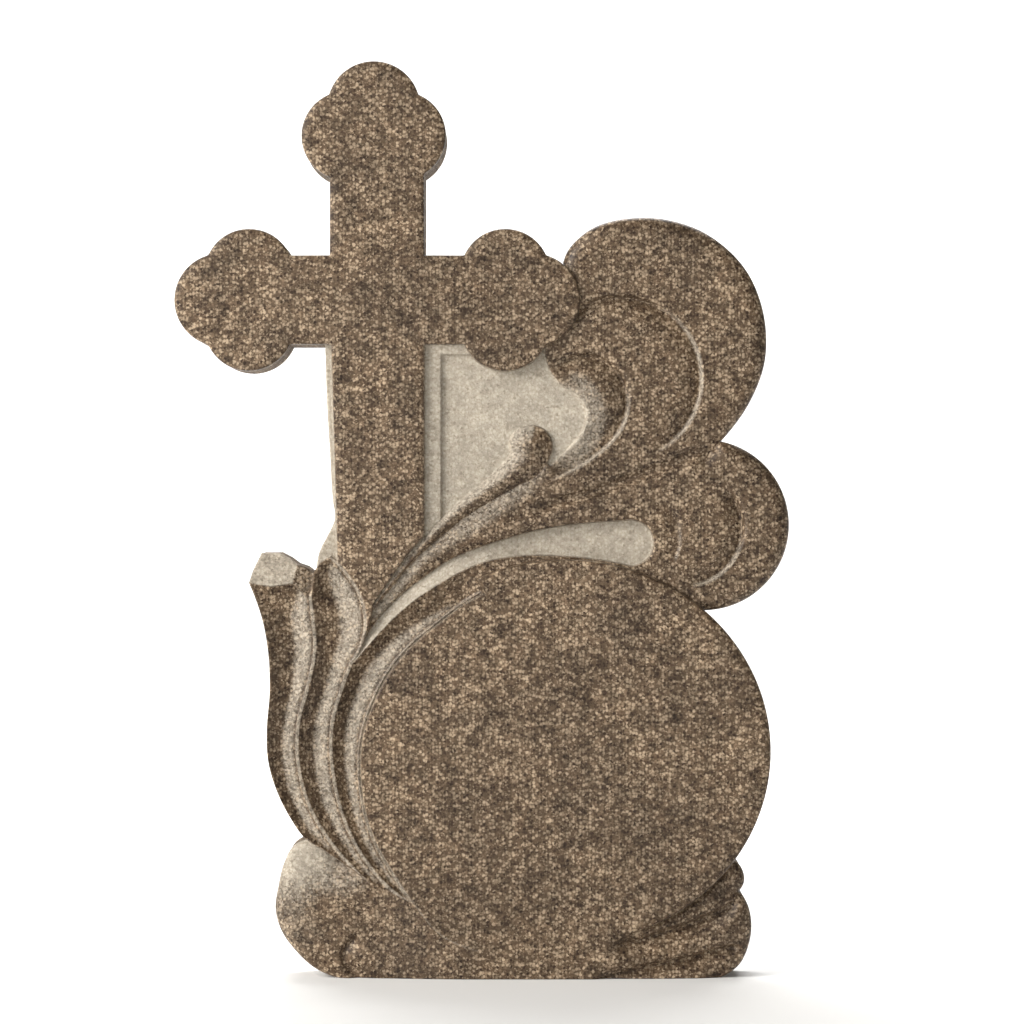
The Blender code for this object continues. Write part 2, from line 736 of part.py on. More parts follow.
def granite():
    """Brown granite, polished on the raised forms."""
    material = bpy.data.materials.new("brown_granite")
    material.use_nodes = True
    shader = material.node_tree.nodes["Principled BSDF"]
    shader.inputs["Base Color"].default_value = (0.19, 0.14, 0.105, 1)
    shader.inputs["Roughness"].default_value = 0.45
    shader.inputs["Metallic"].default_value = 0.0
    return material


def build():
    for item in list(bpy.data.objects):
        bpy.data.objects.remove(item, do_unlink=True)
    lower_limb, upper_cross = cross_forms()
    forms = [ground_form(), ledge_form(), lower_limb, scrolls_form(), upper_cross, foot_form(),
             disc_form(), teardrop_form(), *leaf_forms(), tendril_form()]
    shape = bpy.data.meshes.new("headstone")
    mesh = carve(forms)
    mesh.to_mesh(shape)
    mesh.free()
    shape.shade_smooth()
    shape.set_sharp_from_angle(angle=np.radians(SHARP_ANGLE))
    shape.materials.append(granite())
    stone = bpy.data.objects.new("headstone", shape)
    bpy.context.scene.collection.objects.link(stone)


build()
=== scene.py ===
"""The looks of a carved granite headstone: a cross with trefoil ends, two scrolls, a tendril and
three fluted leaves round a blank disc, all worked in relief on the face of one slab.

The stone stands on its flat underside with its face towards -Y. Every carved form has closed
outlines on the face, a rule for its height above the back and a rule for its polish, and a later
form lies over the earlier ones. On some forms the polish rule also paints light: sides that face
the light are paler, and a cut turned from it is darker, as painted shade. The face is a fine mesh
whose rows of points follow the outlines, with arrises and walls softened over a narrow band. The
sides and the back are duller and slightly uneven.
"""

from dataclasses import dataclass, field
from typing import Callable

import bpy
import numpy as np
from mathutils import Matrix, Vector, kdtree, noise
from mathutils.geometry import delaunay_2d_cdt


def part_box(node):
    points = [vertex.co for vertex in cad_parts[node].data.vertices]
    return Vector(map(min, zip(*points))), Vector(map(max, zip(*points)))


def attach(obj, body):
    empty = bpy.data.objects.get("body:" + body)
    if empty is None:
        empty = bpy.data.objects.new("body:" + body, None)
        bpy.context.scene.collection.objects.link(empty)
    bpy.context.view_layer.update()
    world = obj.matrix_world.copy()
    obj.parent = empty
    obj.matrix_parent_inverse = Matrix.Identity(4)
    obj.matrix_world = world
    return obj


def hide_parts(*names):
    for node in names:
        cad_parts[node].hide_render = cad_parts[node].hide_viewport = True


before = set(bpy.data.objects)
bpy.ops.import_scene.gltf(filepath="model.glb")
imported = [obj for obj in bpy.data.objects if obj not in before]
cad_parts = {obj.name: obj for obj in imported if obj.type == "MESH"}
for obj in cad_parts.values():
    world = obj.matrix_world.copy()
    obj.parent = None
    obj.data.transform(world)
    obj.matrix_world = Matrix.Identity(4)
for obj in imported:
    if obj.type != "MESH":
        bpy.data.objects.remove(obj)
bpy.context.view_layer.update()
stone_low, stone_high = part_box("headstone")

# The slab
STONE_WIDTH, STONE_THICKNESS, STONE_HEIGHT = stone_high - stone_low

# Places on the face are squares of a grid, counted from the middle of the foot
GRID_COLUMNS = 617
GRID_ROWS = 920

# Columns of the grid: the foot's middle, how far to both sides of it the foot is flush with the disc
# and from where it is sunk in full, and the columns between which the teardrop's tail rises
FOOT_MIDDLE = 60
FOOT_FLUSH = 70
FOOT_SUNK = 180
TAIL_HIGH = -60
TAIL_LOW = 40

# The cross, with three lobes to each trefoil, the one at the end a little larger; the head's stands
# a little to the left, and its side lobes reach out further
LIMB_WIDTH = 0.124
LIMB_LEAN = 0.013
ARM_WIDTH = 0.117
END_LOBE_RADIUS = 0.0610
END_LOBE_REACH = 0.0368
SIDE_LOBE_RADIUS = 0.0587
ARM_REACH = 0.1675
ARM_SIDE_REACH = 0.0345
HEAD_REACH = 0.2146
HEAD_SHIFT = 0.0045
HEAD_SIDE_REACH = 0.0359
CROSS_ARRIS = 0.003

# The disc, and where its heel meets the leaves, as shares of its half width and half height
DISC_WIDTH = 0.536
DISC_HEIGHT = 0.501
DISC_ARRIS = 0.005
HEEL_MEETING = (-0.74, -0.797)

# The scrolls, with the turned-in lips on them, which fade out over a share of their length
LOWER_SCROLL_RADIUS = 0.112
GREAT_LIP_RADIUS = 0.109
LOWER_LIP_RADIUS = 0.078
SMALL_LIP_RADIUS = 0.065
LIP_WALL = 0.0035
LIP_SWELL = 0.030
LIP_DEPTH = 0.009
SMALL_LIP_DEPTH = 0.003
EVEN_SWELL = (LIP_SWELL, LIP_SWELL)
INNER_SWELL = (0.050, 0.032)
LIP_FADE = 0.1
TEARDROP_END_RADIUS = 0.030

# The bare bevel along the recess's edge, as wide again as it drops, and where its bareness fades
BEVEL_WIDTH = 0.0035
BEVEL_DROP = 0.0035
BEVEL_FADE = 1.6

# The parting between the scrolls, which starts at a share of its depth and is full after a share
# of its length
PARTING_WIDTH = 0.012
PARTING_DEPTH = 0.009
GROOVE_START = 0.2
GROOVE_FADE = 0.25

# The steps on the foot with the walls they fall over, and the shallow line beside the disc
FOOT_STEP = 0.013
FOOT_WALL = 0.006
VOLUTE_STEP = 0.007
VOLUTE_WALL = 0.005
BORDER_WIDTH = 0.009
BORDER_DEPTH = 0.005

# The rounding of outer rims
RIM_WIDTH = 0.020
RIM_DROP = 0.014
RIGHT_RIM_WIDTH = 0.045
RIGHT_RIM_DROP = 0.016

# The rounding of the stem, whose side along the teardrop is full up to one share of its length
# and narrow from another
STEM_ROUND = 0.016
STEM_OUTER_ROUND = 0.024
STEM_DROP = 0.010
STEM_FULL_TO = 0.35
STEM_NARROW_FROM = 0.6
STEM_NARROWING = 0.25

# The leaves' flutes, and the flat cuts on the outer leaf's tip
FLUTE_DEPTH = 0.0125
FLUTE_SPREAD = 0.042
FLUTE_ROUNDNESS = 1.5
FLUTE_BOTTOM = 0.42
PALE_CUT_DROP = 0.022
GREY_CUT_DROP = 0.016

# The narrow fillet along each leaf's right side, and the fine lines incised beside it
FILLET_WIDTH = 0.0058
FILLET_RISE = 0.0025
LINE_WIDTH = 0.0026
LINE_DEPTH = 0.0034

# The tendril, which starts lower than it ends
TENDRIL_DROP = 0.008
TENDRIL_START_DROP = 0.001

# Depths below the disc's face
CROSS_DEPTH = 0.004
SCROLL_DEPTH = 0.012
LEAF_DEPTH = 0.010
TENDRIL_DEPTH = 0.006
FOOT_DEPTH = 0.014
TEARDROP_DEPTH = 0.026
LEDGE_DEPTH = 0.013
FLOOR_DEPTH = 0.019

# The ledge round the floor of the recess
LEDGE_WIDTH = 0.022
LEDGE_RISE = 0.013

# Where the stone is paler, from lost polish and partly as painted light on sides facing the light,
# and where one cut is darker as painted shade: how strongly, how far from an edge and over what
# width it fades
WALL_WEAR_AND_PAINTED_LIGHT = 0.65
RECESS_PAINTED_LIGHT = 0.42
RECESS_REACH = 0.018
STEM_PAINTED_LIGHT = 0.38
STEM_END_PAINTED_LIGHT = 0.6
STEM_REACH = (0.026, 0.008)
EDGE_FADE = 0.014
LOBE_PAINTED_LIGHT = 0.3
LOBE_REACH = 0.030
LOBE_FADE = 0.025
HEEL_WEAR = 0.4
HEEL_FADE = 0.003
FLANK_WEAR_AND_PAINTED_LIGHT = 0.55
FLANK_FADE = 0.16
TENDRIL_WEAR_AND_PAINTED_LIGHT = 0.75
PALE_CUT_POLISH = 0.15
GREY_CUT_PAINTED_SHADE = 0.85

# The left lobe's shoulder, at a square of the grid, painted pale as a highlight where it faces the light
SHOULDER = (-190, 130)
SHOULDER_RADIUS = 0.014
SHOULDER_FADE = 0.068

# Steps along outlines, rows of points beside them, the spacing of the points between them, and how
# many decimals of a place are kept, so that rounding errors can't change which points are used
FACET = 0.004
ROWS = (0.0006, 0.0013, 0.0028)
FINE_SPACING = 0.0042
COARSE_SPACING = 0.0084
BACK_SPACING = 0.016
BACK_ROW = 0.002
CLEARANCE = 0.6
SAME_PLACE = 0.00002
DECIMALS = 9
BATCH = 4000

# The disc over which walls and arrises are softened, and shares of it that lie in the stone
SOFTENING = 0.0013
SOFTENING_SPOTS = 32
ALL_INSIDE = 0.999
LEAST_SHARE = 0.001
OUTER_ARRIS = 0.0028

# The map of the face: its cells, its margin, its lower left corner and its size in cells
CELL = 0.00025
MAP_MARGIN = 0.01
MAP_LOW = np.array([stone_low.x, stone_low.z]) - MAP_MARGIN
MAP_SHAPE = tuple(int((size + 2 * MAP_MARGIN) / CELL) for size in (STONE_HEIGHT, STONE_WIDTH))
OUTSIDE = -1

# The sides, whose polish follows the share of the way back, and the back
SIDE_RINGS = 9
SIDE_POLISH = ([0, 0.1, 0.35], [1, 0.98, 0.95])
SIDE_GLOSS = 0.05
UNDERSIDE_BAND = 0.004
BACK_ARRIS = 0.0015
BACK_POLISH = 0.8
BACK_GLOSS = 0.4

# Unevenness: its depth, then the length of its waves with a seed that sets them apart
FACE_WAVE_DEPTH = 0.00025
FACE_WAVES = (0.045, 3.1)
PIT_DEPTH = 0.00045
PITS = (0.009, 7.7)
FINE_PIT_SHARE = 0.6
FINE_PITS = (0.004, 1.3)
SIDE_DENT_DEPTH = 0.0006
SIDE_DENTS = (0.012, 5.9)
SIDE_WAVE_DEPTH = 0.0004
SIDE_WAVES = (0.04, 2.2)
BACK_WAVE_DEPTH = 0.0003
BACK_WAVES = (0.03, 4.4)

# The colours of the grains, polished and then bare
DARK = (0.018, 0.010, 0.006)
BROWN = (0.053, 0.033, 0.020)
TAN = (0.128, 0.088, 0.055)
CREAM = (0.275, 0.21, 0.144)
SAND = (0.25, 0.21, 0.16)
BONE = (0.37, 0.325, 0.262)
CHALK = (0.46, 0.41, 0.335)

# Scales of the grains, of the ground between them and of patches of them, as counts to a metre,
# and how far the grains' edges wobble
LARGE_GRAINS = 230
SMALL_GRAINS = 430
GROUND = 420
CLUMPS = 62
DRIFT = 12
WOBBLE = 330
WOBBLE_REACH = 0.003

# How the stone reflects; roughness and bumps are given where it is dull and where it is glossy
SPECULAR_LEVEL = 0.22
ROUGHNESS = (0.85, 0.42)
BUMPS = (0.8, 0.06)
BUMP_HEIGHT = 0.0012

# The studio: the rings of the floor, the bend at its edge, the wall, and the light
FLOOR_RINGS = (1.5, 4.0, 6.5)
FLOOR_RADIUS = 9.0
BEND_RADIUS = 2.5
BEND_FACETS = 16
WALL_TOP = 3.4
FACETS_ROUND = 96
WARM = (1, 0.985, 0.96)
WHITE = (1, 1, 1)
AMBIENT = 0.11

# The camera: its lens and sensor in millimetres, and the width and the middle of its view
LENS = 150
SENSOR = 36
VIEW_WIDTH = 1.3365
VIEW_MIDDLE = (0.0391, 0.6104)


def grid(squares):
    """Places on the face, in metres, from squares of the grid."""
    return np.array(squares, float) * (STONE_WIDTH / GRID_COLUMNS, STONE_HEIGHT / GRID_ROWS)


CROSS_CENTRE = np.array([
    ARM_REACH + END_LOBE_REACH + END_LOBE_RADIUS - STONE_WIDTH / 2,
    STONE_HEIGHT - HEAD_REACH - END_LOBE_REACH - END_LOBE_RADIUS,
])
DISC_CENTRE = grid((84, 228))
DISC_RADII = np.array([DISC_WIDTH / 2, DISC_HEIGHT / 2])
LOWER_SCROLL_CENTRE = np.array([STONE_WIDTH / 2 - LOWER_SCROLL_RADIUS, grid((0, 455))[1]])


def disc_place(shares):
    """Places given as shares of the disc's half width and half height, from its middle."""
    return DISC_CENTRE + np.array(shares, float) * DISC_RADII


# Lines and regions on the face

def smooth(points):
    """A curve through the points, in straight facets of about one step."""
    points = np.asarray(points, float)
    chord = np.diff(points, axis=0)
    length = np.linalg.norm(chord, axis=1)[:, None]
    heading = chord / length
    if len(chord) > 1:
        inner = (heading[:-1] * length[1:] + heading[1:] * length[:-1]) / (length[:-1] + length[1:])
        tangent = np.vstack([2 * heading[:1] - inner[:1], inner, 2 * heading[-1:] - inner[-1:]])
    else:
        tangent = np.vstack([heading, heading])
    pieces = []
    for index, span in enumerate(length[:, 0]):
        count = max(1, round(span / FACET))
        t = np.arange(count)[:, None] / count
        start, end = points[index], points[index + 1]
        leave, arrive = tangent[index] * span, tangent[index + 1] * span
        pieces.append((2 * t**3 - 3 * t**2 + 1) * start + (t**3 - 2 * t**2 + t) * leave
                      + (3 * t**2 - 2 * t**3) * end + (t**3 - t**2) * arrive)
    return np.round(np.vstack(pieces + [points[-1:]]), DECIMALS)


def curve(squares):
    """A curve through squares of the grid."""
    return smooth(grid(squares))


def arc(centre, radius, start, end):
    """Points on a circle, or on an ellipse with two radii, between two angles in degrees."""
    radii = np.broadcast_to(radius, 2)
    count = max(3, round(abs(np.radians(end - start)) * radii.max() / FACET))
    angle = np.radians(np.linspace(start, end, count + 1))
    return np.round(centre + radii * np.column_stack([np.cos(angle), np.sin(angle)]), DECIMALS)


def chain(*lines):
    """Lines joined end to end, without repeated points."""
    line = np.vstack(lines)
    step = np.linalg.norm(np.diff(line, axis=0), axis=1)
    return line[np.append(True, step > SAME_PLACE)]


def outline(*lines):
    """Lines joined into a closed outline, with its long sides cut into steps of about a facet."""
    corners = chain(*lines, lines[0][:1])
    return np.vstack([smooth(side)[:-1] for side in zip(corners, corners[1:])])


def circle(centre, radius):
    """A circle of four quarters, so that it has points at its full width and height."""
    return outline(*[arc(centre, radius, turn, turn + 90) for turn in (0, 90, 180, 270)])


def box(low, high):
    """A rectangle, anticlockwise from its lower left corner."""
    return outline(np.array([low, (high[0], low[1]), high, (low[0], high[1])]))


def measure(points, line):
    """Each point's distance from a line, its side of it (+1 is left) and its share of the way."""
    start = line[:-1]
    step = np.diff(line, axis=0)
    length = np.linalg.norm(step, axis=1)
    travelled = np.append(0, np.cumsum(length))
    parts = []
    for some in np.array_split(points, len(points) // BATCH + 1):
        away = some[:, None] - start
        along = np.clip((away * step).sum(2) / length**2, 0, 1)
        gap = np.linalg.norm(away - along[..., None] * step, axis=2)
        nearest = gap.argmin(1)
        rows = np.arange(len(some))
        turn = step[nearest, 0] * away[rows, nearest, 1] - step[nearest, 1] * away[rows, nearest, 0]
        share = (travelled[nearest] + along[rows, nearest] * length[nearest]) / travelled[-1]
        parts.append((gap[rows, nearest], np.where(turn < 0, -1, 1), share))
    return tuple(np.concatenate(part) for part in zip(*parts))


def distance(points, lines):
    """Each point's distance from the nearest of several lines."""
    return np.min([measure(points, line)[0] for line in lines], axis=0)


def inside(points, region):
    """Whether each point lies in the region that a closed outline bounds."""
    x, z = points[:, :1], points[:, 1:]
    ax, az = region.T
    bx, bz = np.roll(region, -1, axis=0).T
    level = az == bz
    slope = np.where(level, 0, (bx - ax) / np.where(level, 1, bz - az))
    crossed = ((az > z) != (bz > z)) & (x < ax + (z - az) * slope)
    return crossed.sum(1) % 2 == 1


def covered(points, outlines):
    """Whether each point lies in any of several regions."""
    found = np.zeros(len(points), bool)
    for region in outlines:
        found |= inside(points, region)
    return found


def offset(line, amount):
    """The line moved to its left by an amount, which may differ from point to point."""
    heading = np.gradient(line, axis=0)
    heading /= np.linalg.norm(heading, axis=1)[:, None]
    return line + np.column_stack([-heading[:, 1], heading[:, 0]]) * np.reshape(amount, (-1, 1))


def closed(region):
    return np.vstack([region, region[:1]])


def stretches(line, keep):
    """The runs of a line whose points are all kept."""
    breaks = np.flatnonzero(np.diff(keep.astype(int))) + 1
    for run, kept in zip(np.split(line, breaks), np.split(keep, breaks)):
        if kept[0] and len(run) > 1:
            yield run


def rim_of(outlines):
    """The stretches of several outlines that bound them as one region."""
    rim = []
    for region in outlines:
        line = closed(region)
        others = [other for other in outlines if other is not region]
        rim += stretches(line, ~covered(line, others))
    return rim


# Rules for heights and for polish

def ease(share):
    """A smooth rise from 0 to 1."""
    share = np.clip(share, 0, 1)
    return share**2 * (3 - 2 * share)


def near(gap, reach, fade):
    """1 within a reach, and down to 0 over a width beyond it."""
    return 1 - ease((gap - reach) / fade)


def fall(gap, width, drop):
    """How far a rounded edge has fallen, by the distance from it."""
    return drop * (1 - np.sqrt(1 - np.clip(1 - gap / width, 0, 1)**2))


def lip(points, line, depth, wall=LIP_WALL, swell=EVEN_SWELL):
    """A wall down on the left of a line, and a swell back up beyond it, steepest at the wall's foot.

    The swell's width may differ between the line's first third and its last half, where a fine
    line is incised too.
    """
    gap, side, share = measure(points, line)
    gap = gap * side
    back_up = np.interp(share, [0.35, 0.5], swell)
    sunk = depth * ease(gap / wall) * (1 - np.clip((gap - wall) / back_up, 0, 1))**2
    incised = LINE_DEPTH * ease(1 - abs(gap) / LINE_WIDTH) * np.interp(share, [0.5, 0.65], [0, 1])
    return (sunk + incised) * np.interp(share, [0, LIP_FADE, 1 - LIP_FADE, 1], [0, 1, 1, 0])


def lip_guides(line, wall=LIP_WALL):
    """Lines along a lip's wall and along the swell beyond it."""
    beside = [offset(line, part * wall) for part in (-0.6, 0.5, 1, 1.7)]
    return [line] + beside + [offset(line, wall + part * LIP_SWELL) for part in (0.5, 1)]


def groove(points, line, width, depth):
    """A furrow along a line, shallow where it starts."""
    gap, _, share = measure(points, line)
    full = np.interp(share, [0, GROOVE_FADE], [GROOVE_START, 1])
    return depth * full * ease(1 - gap / width)


def groove_guides(line, width):
    return [line, offset(line, width), offset(line, -width)]


def even(value):
    """A rule that gives the same polish everywhere."""
    return lambda points: np.full(len(points), float(value))


@dataclass
class Form:
    """A carved form: its outlines, its rules for height and polish, and its guide lines."""

    outlines: list
    height: Callable
    polish: Callable = even(1)
    guides: list = field(default_factory=list)
    fine: bool = True


def level_form(outlines, depth):
    return Form(outlines, lambda points: np.full(len(points), STONE_THICKNESS - depth), even(0))


# The carved forms

def ground_form():
    """The floor of the recess, which shows again as a strip and a bulge left of the lower limb."""
    edge = curve([
        (-158, 650), (-157, 610), (-156, 580), (-153, 530), (-150, 480), (-148, 461), (-156, 443),
        (-163, 429), (-166, 405)
    ])
    hidden = grid([(-140, 340), (-50, 330), (150, 380), (230, 480), (230, 640), (120, 690)])
    return level_form([outline(edge, hidden)], FLOOR_DEPTH)


def ledge_form():
    """The ledge along the lower limb and under the right arm."""
    right = CROSS_CENTRE[0] + LIMB_WIDTH / 2 + LEDGE_WIDTH
    under = CROSS_CENTRE[1] - ARM_WIDTH / 2 - LEDGE_RISE
    upright = box((CROSS_CENTRE[0], grid((0, 420))[1]), (right, CROSS_CENTRE[1]))
    level = box((CROSS_CENTRE[0], under), CROSS_CENTRE + (ARM_REACH, 0))
    return level_form([upright, level], LEDGE_DEPTH)


def cross_outlines():
    """The limbs as boxes, the lower one leaning in, and a trefoil at three of the four ends."""
    half_limb, half_arm = LIMB_WIDTH / 2, ARM_WIDTH / 2
    cx, cz = CROSS_CENTRE
    foot = grid((0, 340))[1]
    lower_limb = outline(np.array([(cx - half_limb + LIMB_LEAN, foot), (cx + half_limb, foot),
                                   (cx + half_limb, cz), (cx - half_limb, cz)]))
    arms = box((cx - ARM_REACH, cz - half_arm), (cx + ARM_REACH, cz + half_arm))
    head = box((cx - half_limb, cz), (cx + half_limb, cz + HEAD_REACH))
    lobes = []
    ends = [((-1, 0), ARM_REACH, 0, ARM_SIDE_REACH), ((1, 0), ARM_REACH, 0, ARM_SIDE_REACH),
            ((0, 1), HEAD_REACH, -HEAD_SHIFT, HEAD_SIDE_REACH)]
    for out, reach, shift, side_reach in ends:
        middle = CROSS_CENTRE + np.array(out) * reach + (shift, 0)
        lobes.append(circle(middle + np.array(out) * END_LOBE_REACH, END_LOBE_RADIUS))
        for turn in ((out[1], out[0]), (-out[1], -out[0])):
            lobes.append(circle(middle + np.array(turn) * side_reach, SIDE_LOBE_RADIUS))
    return lower_limb, [arms, head] + lobes


def cross_forms():
    """The lower limb, which passes behind the stem, and the rest, which lies over the scroll."""
    lower_limb, upper = cross_outlines()
    rim = rim_of([lower_limb] + upper)

    def height(points):
        return STONE_THICKNESS - CROSS_DEPTH - fall(distance(points, rim), CROSS_ARRIS, CROSS_ARRIS)

    return Form([lower_limb], height, fine=False), Form(upper, height, fine=False)


TENDRIL_SPINE = [(-108, 373), (-90, 398), (-70, 423), (-46, 447), (-20, 470), (8, 490), (30, 506),
                 (44, 518), (49, 533)]
TENDRIL_HALF_WIDTHS = [2, 3, 4.5, 6, 8, 10, 13.5, 18, 22]

TAIL_CREST = [(-20, 409), (-38, 399), (-54, 389), (-70, 378), (-85, 365), (-101, 349), (-116, 332),
              (-130, 316)]


def teardrop_sides():
    """The sunk teardrop's upper side, tail to head, and its lower side, head to tail."""
    upper = curve([
        (-130, 318), (-119, 339), (-107, 357), (-92, 374), (-75, 390), (-57, 403), (-37, 417),
        (-14, 428), (18, 439), (58, 450), (98, 456), (138, 459)
    ])
    head = arc(grid((149, 437)), TEARDROP_END_RADIUS, 105, -90)
    lower = curve([(149, 414), (118, 420), (78, 424), (38, 424), (3, 418), (-20, 409)])
    return chain(upper, head), chain(lower, curve(TAIL_CREST))


def scrolls_form():
    """Both scrolls and the stem they spring from, with the turned-in lips and the parting."""
    great_rim = curve([
        (80, 705), (84, 727), (104, 749), (163, 764), (223, 749), (266, 710), (284, 662), (284, 618),
        (270, 580), (241, 540), (222, 522)
    ])
    recess_edge = curve([
        (63, 644), (63, 628), (67, 612), (78, 597), (94, 584), (104, 567), (100, 549), (87, 532),
        (68, 514)
    ])
    stem_edge = curve(TENDRIL_SPINE[::-1])
    hidden = grid([(-118, 340), (-130, 316), (-60, 310), (80, 340), (215, 380)])
    great = outline(recess_edge, stem_edge, hidden, great_rim[::-1])
    lower = circle(LOWER_SCROLL_CENTRE, LOWER_SCROLL_RADIUS)
    lower_rim = arc(LOWER_SCROLL_CENTRE, LOWER_SCROLL_RADIUS, 85, -95)

    great_lip = arc(grid((138, 602)), GREAT_LIP_RADIUS, 152, -65)[::-1]
    inner_lip = curve([
        (68, 499), (89, 508), (111, 521), (130, 537), (143, 556), (148, 577), (145, 597), (131, 616),
        (109, 627), (88, 624), (70, 610)
    ])
    lower_lip = arc(grid((203, 452)), LOWER_LIP_RADIUS, 45, -85)[::-1]
    small_lip = arc(grid((150, 442)), SMALL_LIP_RADIUS, 50, -30)[::-1]
    lips = [(great_lip, LIP_DEPTH, EVEN_SWELL), (inner_lip, LIP_DEPTH, INNER_SWELL),
            (lower_lip, LIP_DEPTH, EVEN_SWELL), (small_lip, SMALL_LIP_DEPTH, EVEN_SWELL)]
    parting = curve([
        (30, 463), (53, 470), (78, 478), (108, 487), (138, 497), (173, 510), (198, 519), (218, 528),
        (244, 541)
    ])
    upper_side, _ = teardrop_sides()

    def bevel(points):
        """How far the recess's bare bevelled edge has fallen, and how pale it is: bare on the bevel,
        and paler beside it as painted light that offsets the shade there.
        """
        gap, _, share = measure(points, recess_edge)
        full = np.interp(share, [0.3, 0.45, 0.85, 1], [0, 1, 1, 0])
        # Paler beside the recess's edge, where the swell would lie in shade: painted light
        paleness = RECESS_PAINTED_LIGHT * near(gap, RECESS_REACH, EDGE_FADE)
        bare = np.maximum(ease(BEVEL_FADE - gap / BEVEL_WIDTH), paleness)
        return BEVEL_DROP * full * np.clip(1 - gap / BEVEL_WIDTH, 0, 1), full * bare

    def height(points):
        falls = [fall(distance(points, [great_rim, lower_rim]), RIM_WIDTH, RIM_DROP),
                 fall(distance(points, [recess_edge]), CROSS_ARRIS, CROSS_ARRIS),
                 bevel(points)[0],
                 fall(distance(points, [stem_edge]), STEM_OUTER_ROUND, STEM_DROP)]
        gap, _, share = measure(points, upper_side)
        narrow = np.interp(share, [STEM_FULL_TO, STEM_NARROW_FROM], [1, STEM_NARROWING])
        falls.append(fall(gap / narrow, STEM_ROUND, STEM_DROP) * narrow)
        cuts = sum(lip(points, line, depth, swell=swell) for line, depth, swell in lips)
        cuts += groove(points, parting, PARTING_WIDTH, PARTING_DEPTH)
        return STONE_THICKNESS - SCROLL_DEPTH - np.maximum(np.max(falls, axis=0), cuts)

    def polish(points):
        paleness = np.zeros(len(points))
        # Each lip's wall is bare and pale only along the part that faces the light: bare stone with
        # painted light
        for line, depth, _ in lips:
            gap, side, share = measure(points, line)
            wall = near(abs(gap * side - LIP_WALL / 2), 0, LIP_WALL)
            ends = np.interp(share, [0, LIP_FADE, 0.42, 0.6], [0, 1, 1, 0])
            paleness = np.maximum(paleness, wall * ends * depth / LIP_DEPTH)
        # Paler along the stem's edge beside the tendril, which faces the light: painted light
        gap, _, share = measure(points, stem_edge)
        reach = np.interp(share, [0.45, 0.7], STEM_REACH)
        strength = np.interp(share, [0.03, 0.15, 0.6, 0.7], [0, STEM_PAINTED_LIGHT, STEM_PAINTED_LIGHT, STEM_END_PAINTED_LIGHT])
        beside = near(gap, reach, EDGE_FADE) * strength
        return 1 - np.maximum(np.maximum(WALL_WEAR_AND_PAINTED_LIGHT * paleness, beside), bevel(points)[1])

    guides = groove_guides(parting, PARTING_WIDTH)
    guides += [offset(recess_edge, side * part * BEVEL_WIDTH) for side in (-1, 1) for part in (0.5, 1)]
    for line, _, _ in lips:
        guides += lip_guides(line)
    return Form([great, lower], height, polish, guides)


def foot_level(points):
    """The foot is flush with the disc under its middle and sinks behind it to both sides."""
    middle, near, far = grid([(FOOT_MIDDLE, 0), (FOOT_FLUSH, 0), (FOOT_SUNK, 0)])[:, 0]
    return STONE_THICKNESS - FOOT_DEPTH * ease((abs(points[:, 0] - middle) - near) / (far - near))


def foot_form():
    """The foot: a rolled lobe on the left, two on the right, and a flat underside."""
    left = curve([
        (-142, 118), (-176, 139), (-190, 132), (-199, 116), (-205, 92), (-208, 69), (-202, 47),
        (-187, 26), (-168, 9), (-147, 0)
    ])
    right = curve([(240, 0), (258, 12), (268, 32), (271, 53), (268, 71), (259, 87)])
    small = curve([(259, 87), (264, 98), (261, 110), (250, 122), (233, 135)])
    rims = [left, right, small]
    volute = curve([(-126, 46), (-139, 35), (-144, 24), (-141, 13), (-130, 0), (-116, -16)])
    upper = curve([(128, 36), (173, 48), (208, 59), (238, 72), (259, 87)])
    lower = curve([(108, 2), (158, 15), (183, 20), (208, 25), (233, 32), (268, 38)])
    steps = [(volute, VOLUTE_STEP, VOLUTE_WALL), (upper[::-1], FOOT_STEP, FOOT_WALL),
             (lower[::-1], FOOT_STEP, FOOT_WALL)]
    beside_disc = arc(DISC_CENTRE, DISC_RADII, -34, -84)
    shoulder = grid(SHOULDER)

    def height(points):
        rounding = np.maximum(fall(distance(points, rims), RIM_WIDTH, RIM_DROP),
                              fall(distance(points, rims[1:]), RIGHT_RIM_WIDTH, RIGHT_RIM_DROP))
        cuts = sum(lip(points, line, depth, wall) for line, depth, wall in steps)
        gap, _, share = measure(points, beside_disc)
        fade = np.interp(share, [0, 0.1, 0.6, 1], [0.6, 1, 0.8, 0])
        cuts += BORDER_DEPTH * ease(1 - gap / BORDER_WIDTH) * fade
        return foot_level(points) - np.maximum(rounding, cuts)

    def polish(points):
        # The shoulder and the upper part of the left lobe's edge face the light and are painted paler:
        # painted highlight
        gap = np.linalg.norm(points - shoulder, axis=1)
        beside, _, share = measure(points, left)
        edge = LOBE_PAINTED_LIGHT * near(beside, LOBE_REACH, LOBE_FADE) * np.interp(share, [0.4, 0.85], [1, 0])
        return ease((gap - SHOULDER_RADIUS) / SHOULDER_FADE) * (1 - edge)

    guides = [offset(beside_disc, BORDER_WIDTH), offset(beside_disc, BORDER_WIDTH / 2)]
    for line, _, wall in steps:
        guides += lip_guides(line, wall)
    return Form([outline(left, right, small)], height, polish, guides)


def disc_lines():
    """The disc's round rim, clockwise from its left, and its heel below, left to right."""
    rim = arc(DISC_CENTRE, DISC_RADII, 180, -70)
    heel = smooth(disc_place([(-1, 0), (-0.997, -0.17), (-0.973, -0.328), (-0.92, -0.484),
                              (-0.842, -0.63), HEEL_MEETING, (-0.62, -0.95), (-0.4, -1.05),
                              (0, -1.06), (0.342, -0.94)]))
    return rim, heel


